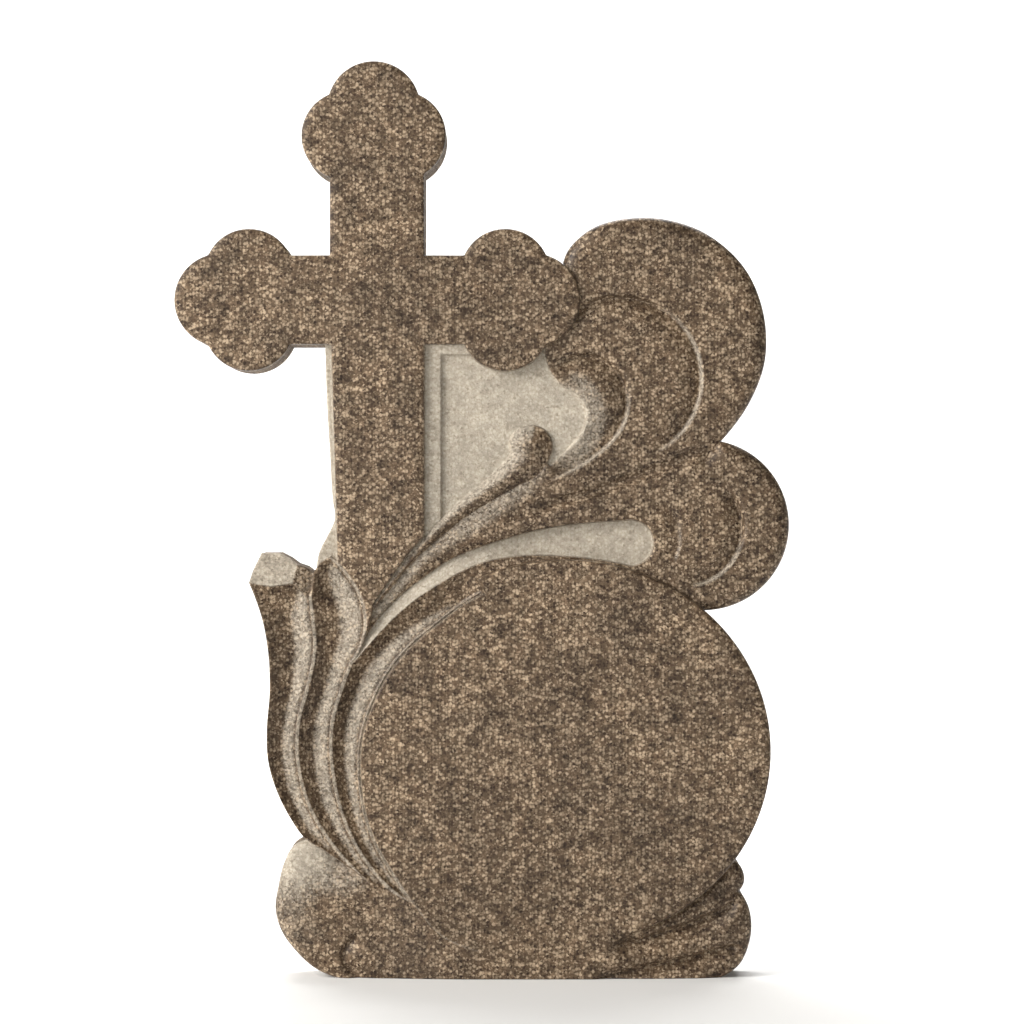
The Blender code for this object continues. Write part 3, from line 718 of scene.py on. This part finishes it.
def disc_form():
    """The blank disc, whose edge is lost where the foot is flush with it."""
    rim, heel = disc_lines()
    edge = [rim, heel]
    crisp, full = disc_place([(-0.3, 0), (0, 0)])[:, 0]

    def height(points):
        arris = DISC_ARRIS * np.interp(points[:, 0], [crisp, full], [0.35, 1])
        rounded = STONE_THICKNESS - fall(distance(points, edge) / arris, 1, 1) * arris
        return np.maximum(rounded, foot_level(points))

    def polish(points):
        gap, _, share = measure(points, heel)
        return 1 - HEEL_WEAR * (near(gap, 0, HEEL_FADE)
                                * np.interp(share, [0.3, 0.4, 0.55, 0.62], [0, 1, 1, 0]))

    return Form([outline(rim, heel[::-1])], height, polish, fine=False)


def teardrop_form():
    """The sunk teardrop, whose tail rises to a bright sloping strip beside the leaf."""
    upper, lower = teardrop_sides()
    high, low = grid([(TAIL_HIGH, 0), (TAIL_LOW, 0)])[:, 0]

    def height(points):
        to_upper, to_lower = distance(points, [upper]), distance(points, [lower])
        across = to_upper / np.maximum(to_upper + to_lower, SAME_PLACE)
        tail = np.interp(points[:, 0], [high, low], [1, 0])
        strip_low, strip_high = SCROLL_DEPTH + STEM_DROP, LEAF_DEPTH
        depth_in_tail = strip_low + (strip_high - strip_low) * across
        return STONE_THICKNESS - (TEARDROP_DEPTH * (1 - tail) + depth_in_tail * tail)

    return Form([outline(upper, lower)], height, even(0))


def leaf_form(left, right, tip=(), rise=0, taper=0.01, upper=FLUTE_BOTTOM):
    """A leaf hollowed between its two sides, both drawn from the tip down.

    It is deepest nearer its left side, and along its right side runs a narrow fillet, which may
    rise above it. The left flank is polished; the right one, which faces the light, is pale, partly
    bare stone and partly painted light, but narrows towards the tip over a share of the leaf's
    length.
    """
    def across(points):
        to_left = distance(points, [left])
        to_right, _, along = measure(points, right)
        full = np.minimum(1, (to_left + to_right) / FLUTE_SPREAD)
        bottom = np.interp(along, [0, taper, 0.4, 0.65], [0.95, upper, upper, FLUTE_BOTTOM])
        return to_left / np.maximum(to_left + to_right, SAME_PLACE), to_right, full, bottom

    def height(points):
        share, to_right, full, bottom = across(points)
        up = np.where(share < bottom, share / bottom, (1 - share) / (1 - bottom))
        hollow = FLUTE_DEPTH * full * (1 - (1 - up)**FLUTE_ROUNDNESS)
        line = LINE_DEPTH * ease(1 - abs(to_right - FILLET_WIDTH) / LINE_WIDTH)
        raised = ease((FILLET_WIDTH - to_right) / LINE_WIDTH)
        if rise:
            line += (LINE_DEPTH + rise) * ease(1 - to_right / LINE_WIDTH)
        return STONE_THICKNESS - LEAF_DEPTH - (hollow * (1 - raised) + line * full - rise * raised)

    def polish(points):
        share, to_right, _, bottom = across(points)
        # The flank that faces the light is paler: partly bare stone, partly painted light
        paleness = ease((share - bottom) / FLANK_FADE + 0.5)
        line = ease(1.3 - abs(to_right - FILLET_WIDTH) / LINE_WIDTH)
        return 1 - FLANK_WEAR_AND_PAINTED_LIGHT * paleness * (1 - line)

    guides = [offset(right, -FILLET_WIDTH + step * LINE_WIDTH) for step in (-1, 0, 1)]
    guides.append(offset(right, -LINE_WIDTH))
    top = grid(tip)[::-1] if tip else left[:0]
    return Form([outline(left, right[::-1], top)], height, polish, guides)


def facet_form(corners, low, high, drop, polish):
    """A flat cut on a leaf's tip that falls away from one place to another."""
    low, high = grid(low), grid(high)

    def height(points):
        share = (points - high) @ (low - high) / ((low - high) @ (low - high))
        return STONE_THICKNESS - LEAF_DEPTH - drop * np.maximum(share, 0)

    return Form([outline(grid(corners))], height, even(polish))


def leaf_forms():
    """The three fluted leaves, left to right, that share their crests, and the outer leaf's tip."""
    meeting = disc_place([HEEL_MEETING])
    first_crest = curve([
        (-169, 407), (-171, 388), (-168, 360), (-166, 334), (-174, 290), (-182, 260), (-184, 230),
        (-180, 200), (-171, 172), (-157, 147), (-136, 120), (-110, 94)
    ])
    second_crest = smooth(np.vstack([
        grid([(-130, 316), (-140, 288), (-148, 260), (-150, 230), (-147, 200), (-140, 170),
              (-128, 140), (-111, 113), (-91, 91)]), meeting]))

    outer_side = curve([
        (-234, 397), (-227, 380), (-220, 358), (-215, 330), (-213, 290), (-216, 250), (-215, 220),
        (-206, 188), (-193, 162), (-177, 140), (-158, 128), (-136, 113), (-110, 94)
    ])
    outer_tip = [(-230, 410), (-222, 427), (-204, 427), (-194, 422), (-186, 416), (-177, 413)]
    outer = leaf_form(outer_side, first_crest, outer_tip, taper=0.12, upper=0.56)

    middle_left = chain(grid([(-151, 424), (-163, 417)]), first_crest,
                        smooth(np.vstack([grid([(-110, 94), (-88, 83)]), meeting])))
    middle_right = chain(curve([
        (-151, 424), (-134, 406), (-122, 387), (-116, 367), (-117, 343), (-130, 316)
    ]), second_crest)
    middle = leaf_form(middle_left, middle_right, upper=0.48)

    tip = disc_place([(-0.395, 0.822)])
    cradle_left = chain(smooth(np.vstack([tip, grid([(-6, 401), (-20, 409)])])),
                        curve(TAIL_CREST), second_crest)
    _, heel = disc_lines()
    turn = int(np.argmin(np.linalg.norm(heel - meeting, axis=1)))
    cradle_right = chain(smooth(np.vstack([
        tip, disc_place([(-0.506, 0.76), (-0.628, 0.661), (-0.735, 0.568), (-0.822, 0.469),
                         (-0.895, 0.349), (-0.954, 0.208), (-0.988, 0.09), (-1, 0)])])),
        heel[:turn + 1])
    cradle = leaf_form(cradle_left, cradle_right, rise=FILLET_RISE, taper=0.3)

    pale_corners = [(-234, 397), (-212, 393), (-190, 396), (-186, 416), (-194, 422), (-204, 427),
                    (-222, 427), (-230, 410)]
    grey_corners = [(-190, 396), (-174, 380), (-171, 388), (-169, 407), (-177, 413), (-186, 416)]
    pale_cut = facet_form(pale_corners, (-213, 427), (-212, 394), PALE_CUT_DROP,
                          PALE_CUT_POLISH)
    # The grey cut faces away from the light and keeps a darker, polished colour: painted shade
    grey_cut = facet_form(grey_corners, (-172, 412), (-189, 393), GREY_CUT_DROP,
                          GREY_CUT_PAINTED_SHADE)
    return [outer, middle, cradle, pale_cut, grey_cut]


def tendril_form():
    """The tendril: a rounded stem that swells into a knob at its end."""
    spine = curve(TENDRIL_SPINE)
    _, _, places = measure(grid(TENDRIL_SPINE), spine)
    half_widths = np.array(TENDRIL_HALF_WIDTHS) * STONE_HEIGHT / GRID_ROWS
    _, _, shares = measure(spine, spine)
    half = np.interp(shares, places, half_widths)
    heading = np.degrees(np.arctan2(*(spine[-1] - spine[-2])[::-1]))
    cap = arc(spine[-1], half[-1], heading - 90, heading + 90)
    edge = outline(offset(spine, -half), cap, offset(spine, half)[::-1])

    def height(points):
        gap, _, share = measure(points, spine)
        reach = np.interp(share, places, half_widths)
        crest = STONE_THICKNESS - TENDRIL_DEPTH - TENDRIL_START_DROP * (1 - share)
        return crest - TENDRIL_DROP * np.clip(gap / reach, 0, 1)**2

    # The side of the tendril that faces the light is paler: partly bare stone, partly painted light
    def polish(points):
        gap, side, share = measure(points, spine)
        reach = np.interp(share, places, half_widths)
        middle = np.interp(share, [0.4, 0.6, 0.8, 1], [0.33, 0.25, 0.2, 0.5])
        steep = np.interp(share, [0.75, 0.9], [1.2, 0.85])
        return 1 - TENDRIL_WEAR_AND_PAINTED_LIGHT * ease(0.5 + steep * (gap * side / reach - middle))

    return Form([edge], height, polish)


def all_forms():
    """Every carved form, the lowest first."""
    lower_limb, upper_cross = cross_forms()
    return [ground_form(), ledge_form(), lower_limb, scrolls_form(), upper_cross, foot_form(),
            disc_form(), teardrop_form(), *leaf_forms(), tendril_form()]


# The map of which form shows where

def fill(region):
    """The cells of the map inside a closed outline."""
    rows, columns = MAP_SHAPE
    cells = (region - MAP_LOW) / CELL - 0.5
    toggles = np.zeros((rows, columns), np.uint8)
    for (ax, az), (bx, bz) in zip(cells, np.roll(cells, -1, axis=0)):
        first, last = sorted((int(np.ceil(az)), int(np.ceil(bz))))
        if first < last:
            row = np.arange(first, last)
            column = np.ceil(ax + (row - az) * (bx - ax) / (bz - az)).astype(int)
            toggles[row, column] ^= 1
    return np.bitwise_xor.accumulate(toggles, axis=1).astype(bool)


def owner_map(forms):
    """The index of the form that shows in each cell, or OUTSIDE."""
    owner = np.full(MAP_SHAPE, OUTSIDE, np.int8)
    for index, form in enumerate(forms):
        for region in form.outlines:
            owner[fill(region)] = index
    return owner


def look_up(points, owner):
    """The form that shows at each point, by the map."""
    column, row = ((points - MAP_LOW) / CELL).astype(int).T
    rows, columns = MAP_SHAPE
    return owner[np.clip(row, 0, rows - 1), np.clip(column, 0, columns - 1)]


def kernel():
    """Places in a small disc, as evenly spread as the seeds of a sunflower."""
    index = np.arange(SOFTENING_SPOTS) + 0.5
    radius = SOFTENING * np.sqrt(index / SOFTENING_SPOTS)
    angle = index * np.pi * (3 - np.sqrt(5))
    return np.column_stack([radius * np.cos(angle), radius * np.sin(angle)])


def soften(points, forms, owner):
    """Height, polish and share inside the stone at each point, averaged over a small disc."""
    showing = np.array([look_up(points + shift, owner) for shift in kernel()])
    height, polish, total = np.zeros((3, len(points)))
    for index, form in enumerate(forms):
        share = (showing == index).mean(0)
        here = np.flatnonzero(share)
        if len(here):
            height[here] += share[here] * form.height(points[here])
            polish[here] += share[here] * form.polish(points[here])
            total[here] += share[here]
    total = np.maximum(total, LEAST_SHARE)
    return height / total, polish / total, total


# The mesh

def visible_lines(forms, owner):
    """The stretches of outline and of guides that show."""
    edges, guides = [], []
    for index, form in enumerate(forms):
        over = [region for later in forms[index + 1:] for region in later.outlines]
        for region in form.outlines:
            line = closed(region)
            others = [other for other in form.outlines if other is not region]
            showing = ~covered(line, over + others)
            beside = showing.copy()
            beside[1:] |= showing[:-1]
            beside[:-1] |= showing[1:]
            edges += stretches(line, beside)
        for guide in form.guides:
            guides += stretches(guide, look_up(guide, owner) == index)
    return edges, guides


def gaps(points, others):
    """Each point's distance from the nearest of other points."""
    tree = kdtree.KDTree(len(others))
    for index, (x, z) in enumerate(others):
        tree.insert((x, z, 0), index)
    tree.balance()
    return np.array([tree.find((x, z, 0))[2] for x, z in points])


def spread(forms, owner, taken, spacing, fine=None):
    """A grid of points over the stone, clear of the points that are already taken."""
    columns = np.arange(stone_low.x, stone_high.x, spacing)
    rows = np.arange(stone_low.z, stone_high.z, spacing * np.sqrt(3) / 2)
    x, z = np.meshgrid(columns, rows)
    x[1::2] += spacing / 2
    points = np.column_stack([x.ravel(), z.ravel()])
    showing = look_up(points, owner)
    if fine is None:
        points = points[showing != OUTSIDE]
    else:
        wanted = [index for index, form in enumerate(forms) if form.fine == fine]
        points = points[np.isin(showing, wanted)]
    return points[gaps(points, taken) > CLEARANCE * spacing]


def face_points(forms, owner):
    """The points of the face and the edges that its triangles must keep."""
    edges, guides = visible_lines(forms, owner)
    points, links = [], []
    for line in edges + guides:
        first = sum(map(len, points))
        points.append(line)
        links += [(first + i, first + i + 1) for i in range(len(line) - 1)]
    for line in edges:
        for row in ROWS:
            for side in (-row, row):
                beside = offset(line, side)
                points.append(beside[look_up(beside, owner) != OUTSIDE])
    taken = np.vstack(points)
    fine = spread(forms, owner, taken, FINE_SPACING, True)
    coarse = spread(forms, owner, taken, COARSE_SPACING, False)
    return np.vstack([taken, fine, coarse]), links


def triangulate(points, links):
    """A flat triangulation: its places, its triangles and the given point at each place."""
    vectors = [Vector(place) for place in points]
    places, _, triangles, given = delaunay_2d_cdt(vectors, links, [], 0, SAME_PLACE)[:4]
    source = np.array([min(found, default=-1) for found in given])
    return np.array([tuple(place) for place in places]), np.array(triangles), source


def inside_stone(flat, triangles, doubtful, forms, owner):
    """The triangles in the stone, by the map, or by the outlines if all their corners are doubtful."""
    middle = flat[triangles].mean(1)
    keep = look_up(middle, owner) != OUTSIDE
    unsure = doubtful[triangles].all(1)
    keep[unsure] = covered(middle[unsure], [region for form in forms for region in form.outlines])
    return triangles[keep]


def boundary_loops(triangles):
    """The closed rings of corners round the outside of the triangles."""
    pairs = np.vstack([triangles[:, [0, 1]], triangles[:, [1, 2]], triangles[:, [2, 0]]]).tolist()
    known = set(map(tuple, pairs))
    following = {a: b for a, b in known if (b, a) not in known}
    loops = []
    while following:
        start, corner = following.popitem()
        loop = [start]
        while corner != start:
            loop.append(corner)
            corner = following.pop(corner)
        loops.append(loop)
    return loops


def rough(places, size, seed):
    """Smooth unevenness between -1 and 1 with waves of about the given size."""
    shift = Vector((seed, seed, seed))
    return np.array([noise.noise(Vector(place) / size + shift) for place in places])


@dataclass
class Shell:
    """The mesh as it grows: its corners, the polish and gloss at each, and its triangles."""

    places: list = field(default_factory=list)
    polishes: list = field(default_factory=list)
    glosses: list = field(default_factory=list)
    triangles: list = field(default_factory=list)

    def add(self, places, polish, gloss):
        """Adds corners and gives their numbers."""
        first = sum(map(len, self.places))
        self.places.append(places)
        self.polishes.append(np.broadcast_to(polish, len(places)))
        self.glosses.append(np.broadcast_to(gloss, len(places)))
        return first + np.arange(len(places))


def carve_face(forms, owner):
    """The face's flat places and its triangles, and the height and polish at each place."""
    flat, triangles, _ = triangulate(*face_points(forms, owner))
    height, polish, total = soften(flat, forms, owner)
    triangles = inside_stone(flat, triangles, total < ALL_INSIDE, forms, owner)
    used, numbers = np.unique(triangles, return_inverse=True)
    return flat[used], numbers.reshape(-1, 3), height[used], polish[used]


def face_places(flat, height, polish, loops):
    """The face's corners, rounded off at its edge, slightly wavy, and pitted where its polish is lower."""
    rounding = fall(gaps(flat, flat[np.concatenate(loops)]), OUTER_ARRIS, OUTER_ARRIS)
    front = np.column_stack([flat[:, 0], STONE_THICKNESS / 2 - (height - rounding), flat[:, 1]])
    waves = rough(front, *FACE_WAVES)
    pits = rough(front, *PITS) + FINE_PIT_SHARE * rough(front, *FINE_PITS)
    front[:, 1] += FACE_WAVE_DEPTH * waves + PIT_DEPTH * pits * (1 - polish)
    return front


def add_side(shell, line, ring, top):
    """Rings of corners from one closed edge of the face to the back; gives the last of them.

    The side is slightly uneven, except just above the underside and along the back.
    """
    heading = np.roll(line, -1, axis=0) - np.roll(line, 1, axis=0)
    heading /= np.linalg.norm(heading, axis=1)[:, None]
    outward = np.column_stack([heading[:, 1], -heading[:, 0]])
    free = ease(line[:, 1] / UNDERSIDE_BAND)[:, None]
    for step in range(1, SIDE_RINGS + 1):
        share = step / SIDE_RINGS
        y = top + (STONE_THICKNESS / 2 - BACK_ARRIS - top) * share
        place = np.column_stack([line[:, 0], y, line[:, 1]])
        if step < SIDE_RINGS:
            dents = SIDE_DENT_DEPTH * (1 + rough(place, *SIDE_DENTS))
            waves = SIDE_WAVE_DEPTH * (1 + rough(place, *SIDE_WAVES))
            place[:, [0, 2]] -= outward * (dents + waves)[:, None] * free
        behind = shell.add(place, np.interp(share, *SIDE_POLISH), SIDE_GLOSS)
        beyond = np.roll(behind, -1)
        shell.triangles.append(np.column_stack([ring, behind, beyond]))
        shell.triangles.append(np.column_stack([ring, beyond, np.roll(ring, -1)]))
        ring = behind
    return ring


def add_back(shell, lines, rings, forms, owner):
    """The back, flat and slightly uneven, joined to the last ring of each side."""
    links = []
    for line in lines:
        first, size = len(links), len(line)
        links += [(first + i, first + (i + 1) % size) for i in range(size)]
    rim = np.vstack(lines)
    inner = np.vstack([offset(closed(line), side) for line in lines for side in (BACK_ROW, -BACK_ROW)])
    taken = np.vstack([rim, inner[look_up(inner, owner) != OUTSIDE]])
    spots = spread(forms, owner, taken, BACK_SPACING)
    flat, triangles, source = triangulate(np.vstack([taken, spots]), links)
    fresh = source >= len(rim)
    triangles = inside_stone(flat, triangles, ~fresh, forms, owner)
    place = np.column_stack([flat[fresh, 0], np.full(fresh.sum(), STONE_THICKNESS / 2), flat[fresh, 1]])
    place[:, 1] -= BACK_WAVE_DEPTH * (1 + rough(place, *BACK_WAVES))
    number = np.zeros(len(flat), int)
    number[~fresh] = np.concatenate(rings)[source[~fresh]]
    number[fresh] = shell.add(place, BACK_POLISH, BACK_GLOSS)
    shell.triangles.append(number[triangles][:, ::-1])


def add_object(name, data):
    """An object in the scene that shows a mesh, a light or a camera."""
    item = bpy.data.objects.new(name, data)
    bpy.context.scene.collection.objects.link(item)
    return item


def make_stone():
    """The stone as one closed mesh: its face, its sides and its back."""
    forms = all_forms()
    owner = owner_map(forms)
    flat, triangles, height, polish = carve_face(forms, owner)
    loops = [np.array(loop) for loop in boundary_loops(triangles)]
    lines = [flat[loop] for loop in loops]
    front = face_places(flat, height, polish, loops)
    shell = Shell()
    shell.add(front, polish, polish)
    shell.triangles.append(triangles)
    rings = [add_side(shell, line, loop, front[loop, 1]) for line, loop in zip(lines, loops)]
    add_back(shell, lines, rings, forms, owner)

    mesh = bpy.data.meshes.new("carved_headstone")
    mesh.from_pydata(np.vstack(shell.places).tolist(), [], np.vstack(shell.triangles).tolist())
    mesh.validate()
    mesh.shade_smooth()
    # The polish attribute holds the stone's finish and also the painted light and painted shade of some
    # forms
    for name, values in (("polish", shell.polishes), ("gloss", shell.glosses)):
        attribute = mesh.attributes.new(name, "FLOAT", "POINT")
        attribute.data.foreach_set("value", np.concatenate(values).astype(np.float32))
    return add_object("carved_headstone", mesh)


# Materials

class Surface:
    """A material whose nodes are added and joined one by one."""

    def __init__(self, name):
        self.material = bpy.data.materials.new(name)
        self.material.use_nodes = True
        self.tree = self.material.node_tree
        self.shader = self.tree.nodes["Principled BSDF"].inputs

    def feed(self, inputs, values):
        """Gives a node's inputs their values, or links them to other nodes."""
        for key, value in values.items():
            if isinstance(value, bpy.types.NodeSocket):
                self.tree.links.new(value, inputs[key])
            else:
                inputs[key].default_value = value

    def add(self, kind, values, **settings):
        """Adds a node and gives its outputs."""
        node = self.tree.nodes.new(kind)
        for name, setting in settings.items():
            setattr(node, name, setting)
        self.feed(node.inputs, values)
        return node.outputs

    def ramp(self, source, *stops):
        """Colours by a value from 0 to 1."""
        node = self.tree.nodes.new("ShaderNodeValToRGB")
        while len(node.color_ramp.elements) < len(stops):
            node.color_ramp.elements.new(0.5)
        for element, (place, colour) in zip(node.color_ramp.elements, stops):
            element.position = place
            element.color = (*colour, 1)
        self.feed(node.inputs, {"Fac": source})
        return node.outputs["Color"]

    def mix(self, kind, factor, first, second):
        values = {0: factor, 6: first, 7: second}
        return self.add("ShaderNodeMix", values, data_type="RGBA", blend_type=kind)[2]

    def math(self, operation, *values):
        return self.add("ShaderNodeMath", dict(enumerate(values)), operation=operation)[0]

    def between(self, source, limits):
        """A value from the first limit to the second as the source goes from 0 to 1."""
        values = {"Value": source, "To Min": limits[0], "To Max": limits[1]}
        return self.add("ShaderNodeMapRange", values)["Result"]


def granite():
    """Brown granite with dark and cream grains: deep and glossy where polished, pale where not."""
    surface = Surface("brown_granite")
    add, ramp, mix, math = surface.add, surface.ramp, surface.mix, surface.math
    where = add("ShaderNodeTexCoord", {})["Object"]
    wobble = add("ShaderNodeTexNoise", {"Vector": where, "Scale": WOBBLE, "Detail": 2})["Color"]
    bent = add("ShaderNodeVectorMath", {0: wobble, 1: [WOBBLE_REACH] * 3, 2: where},
               operation="MULTIPLY_ADD")["Vector"]

    def clouds(scale, detail, roughness=0.5):
        values = {"Vector": where, "Scale": scale, "Detail": detail, "Roughness": roughness}
        return add("ShaderNodeTexNoise", values)["Fac"]

    def grains(scale):
        """Which kind each grain is, and how far each place is from its middle."""
        cells = add("ShaderNodeTexVoronoi", {"Vector": bent, "Scale": scale, "Randomness": 1})
        kind = add("ShaderNodeSeparateColor", {"Color": cells["Color"]})["Red"]
        return kind, cells["Distance"]

    def flecks(scale, ground, *stops):
        kind, apart = grains(scale)
        body = ramp(apart, (0.3, WHITE), (0.62, (0, 0, 0)))
        return mix("MIX", body, ground, ramp(kind, *stops))

    ground = mix("MIX", clouds(GROUND, 3), (*DARK, 1), (*TAN, 1))
    small = flecks(SMALL_GRAINS, ground, (0.0, DARK), (0.4, BROWN), (0.6, TAN), (1.0, CREAM))
    large = flecks(LARGE_GRAINS, small, (0.0, DARK), (0.3, BROWN), (0.5, TAN), (0.72, CREAM), (1.0, CREAM))
    drift = ramp(clouds(DRIFT, 4), (0.3, (0.9, 0.895, 0.89)), (0.7, (1.44, 1.43, 1.4)))
    clumps = ramp(clouds(CLUMPS, 4), (0.32, (0.62, 0.61, 0.6)), (0.68, (1.4, 1.41, 1.42)))
    polished = mix("MULTIPLY", 1.0, mix("MULTIPLY", 1.0, large, drift), clumps)

    ground = mix("MIX", clouds(GROUND, 3), (*SAND, 1), (*CHALK, 1))
    small = flecks(SMALL_GRAINS, ground, (0.0, SAND), (0.5, BONE), (1.0, CHALK))
    large = flecks(LARGE_GRAINS, small, (0.0, SAND), (0.25, BONE), (0.6, CHALK), (1.0, CHALK))
    clumps = ramp(clouds(CLUMPS, 4), (0.32, (0.86, 0.86, 0.86)), (0.68, (1.12, 1.12, 1.12)))
    pale = mix("MULTIPLY", 1.0, large, clumps)

    # Half-polished stone shows some grains polished and the others pale
    # The polish attribute also carries painted light on sides that face the light and painted shade on one
    # cut
    polish = add("ShaderNodeAttribute", {}, attribute_name="polish")["Fac"]
    kind, _ = grains(SMALL_GRAINS)
    half_worn = math("SUBTRACT", polish, math("MULTIPLY", polish, polish))
    kept = math("MULTIPLY_ADD", half_worn, math("MULTIPLY_ADD", kind, -2.2, 1.1), polish)

    gloss = add("ShaderNodeAttribute", {}, attribute_name="gloss")["Fac"]
    bumps = add("ShaderNodeBump", {
        "Distance": BUMP_HEIGHT,
        "Strength": surface.between(gloss, BUMPS),
        "Height": clouds(GROUND, 4, 0.65),
    })
    surface.feed(surface.shader, {
        "Base Color": mix("MIX", kept, pale, polished),
        "Specular IOR Level": SPECULAR_LEVEL,
        "Roughness": surface.between(gloss, ROUGHNESS),
        "Normal": bumps["Normal"],
    })
    return surface.material


def paper():
    """A plain pale surface for the floor and the backdrop."""
    surface = Surface("pale_backdrop")
    surface.feed(surface.shader, {"Base Color": (0.86, 0.855, 0.84, 1), "Roughness": 0.9})
    return surface.material


# The studio

def make_backdrop():
    """A round floor that curves up into a wall all the way round, well beyond the lights."""
    turn = np.radians(np.linspace(0, 90, BEND_FACETS + 1))
    profile = [(reach, 0.0) for reach in FLOOR_RINGS]
    profile += [(FLOOR_RADIUS + BEND_RADIUS * np.sin(a), BEND_RADIUS * (1 - np.cos(a))) for a in turn]
    profile.append((FLOOR_RADIUS + BEND_RADIUS, WALL_TOP))
    places = [(0.0, 0.0, 0.0)]
    faces = []
    for ring, (reach, height) in enumerate(profile):
        first = len(places)
        for step in range(FACETS_ROUND):
            angle = 2 * np.pi * step / FACETS_ROUND
            places.append((reach * np.cos(angle), reach * np.sin(angle), height))
            following = (step + 1) % FACETS_ROUND
            if ring == 0:
                faces.append((0, first + step, first + following))
            else:
                faces.append((first + step - FACETS_ROUND, first + step, first + following,
                              first + following - FACETS_ROUND))
    mesh = bpy.data.meshes.new("backdrop")
    mesh.from_pydata(places, [], faces)
    mesh.shade_smooth()
    mesh.materials.append(paper())
    add_object("backdrop", mesh)


def make_light(name, target, place, size, power, colour):
    """A square light that the camera doesn't see."""
    light = bpy.data.lights.new(name, "AREA")
    light.shape = "SQUARE"
    light.size = size
    light.energy = power
    light.color = colour
    lamp = add_object(name, light)
    lamp.location = place
    lamp.visible_camera = False
    lamp.rotation_euler = (Vector(target) - Vector(place)).to_track_quat("-Z", "Y").to_euler()


def make_studio():
    """A large light from the upper left, weaker ones in front and behind, and one on the backdrop."""
    middle = (0, 0, STONE_HEIGHT / 2)
    make_light("key_light", middle, place=(-6.2, -3.9, 4.1), size=4.8, power=950, colour=WARM)
    make_light("front_light", middle, place=(-3.4, -7.4, 2.5), size=4.5, power=170, colour=WARM)
    make_light("back_light", middle, place=(-3.4, 6.6, 3.8), size=4.5, power=120, colour=WHITE)
    make_light("wall_light", (0, 6.6, 0.5), place=(0, 4.2, 5.6), size=5.0, power=1000, colour=WHITE)
    world = bpy.data.worlds.new("studio")
    world.use_nodes = True
    background = world.node_tree.nodes["Background"]
    background.inputs["Color"].default_value = (1, 1, 1, 1)
    background.inputs["Strength"].default_value = AMBIENT
    bpy.context.scene.world = world
    bpy.context.scene.view_settings.view_transform = "Standard"


def make_camera():
    """A long lens square to the face, framed as the photograph is."""
    camera = bpy.data.cameras.new("camera")
    camera.lens = LENS
    camera.sensor_width = SENSOR
    camera.clip_end = 50
    holder = add_object("camera", camera)
    view_x, view_z = VIEW_MIDDLE
    holder.location = (view_x, -STONE_THICKNESS / 2 - VIEW_WIDTH * LENS / SENSOR, view_z)
    holder.rotation_euler = (np.radians(90), 0, 0)
    bpy.context.scene.camera = holder


stone = make_stone()
stone.data.materials.append(granite())
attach(stone, "root")
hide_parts("headstone")
make_backdrop()
make_studio()
make_camera()
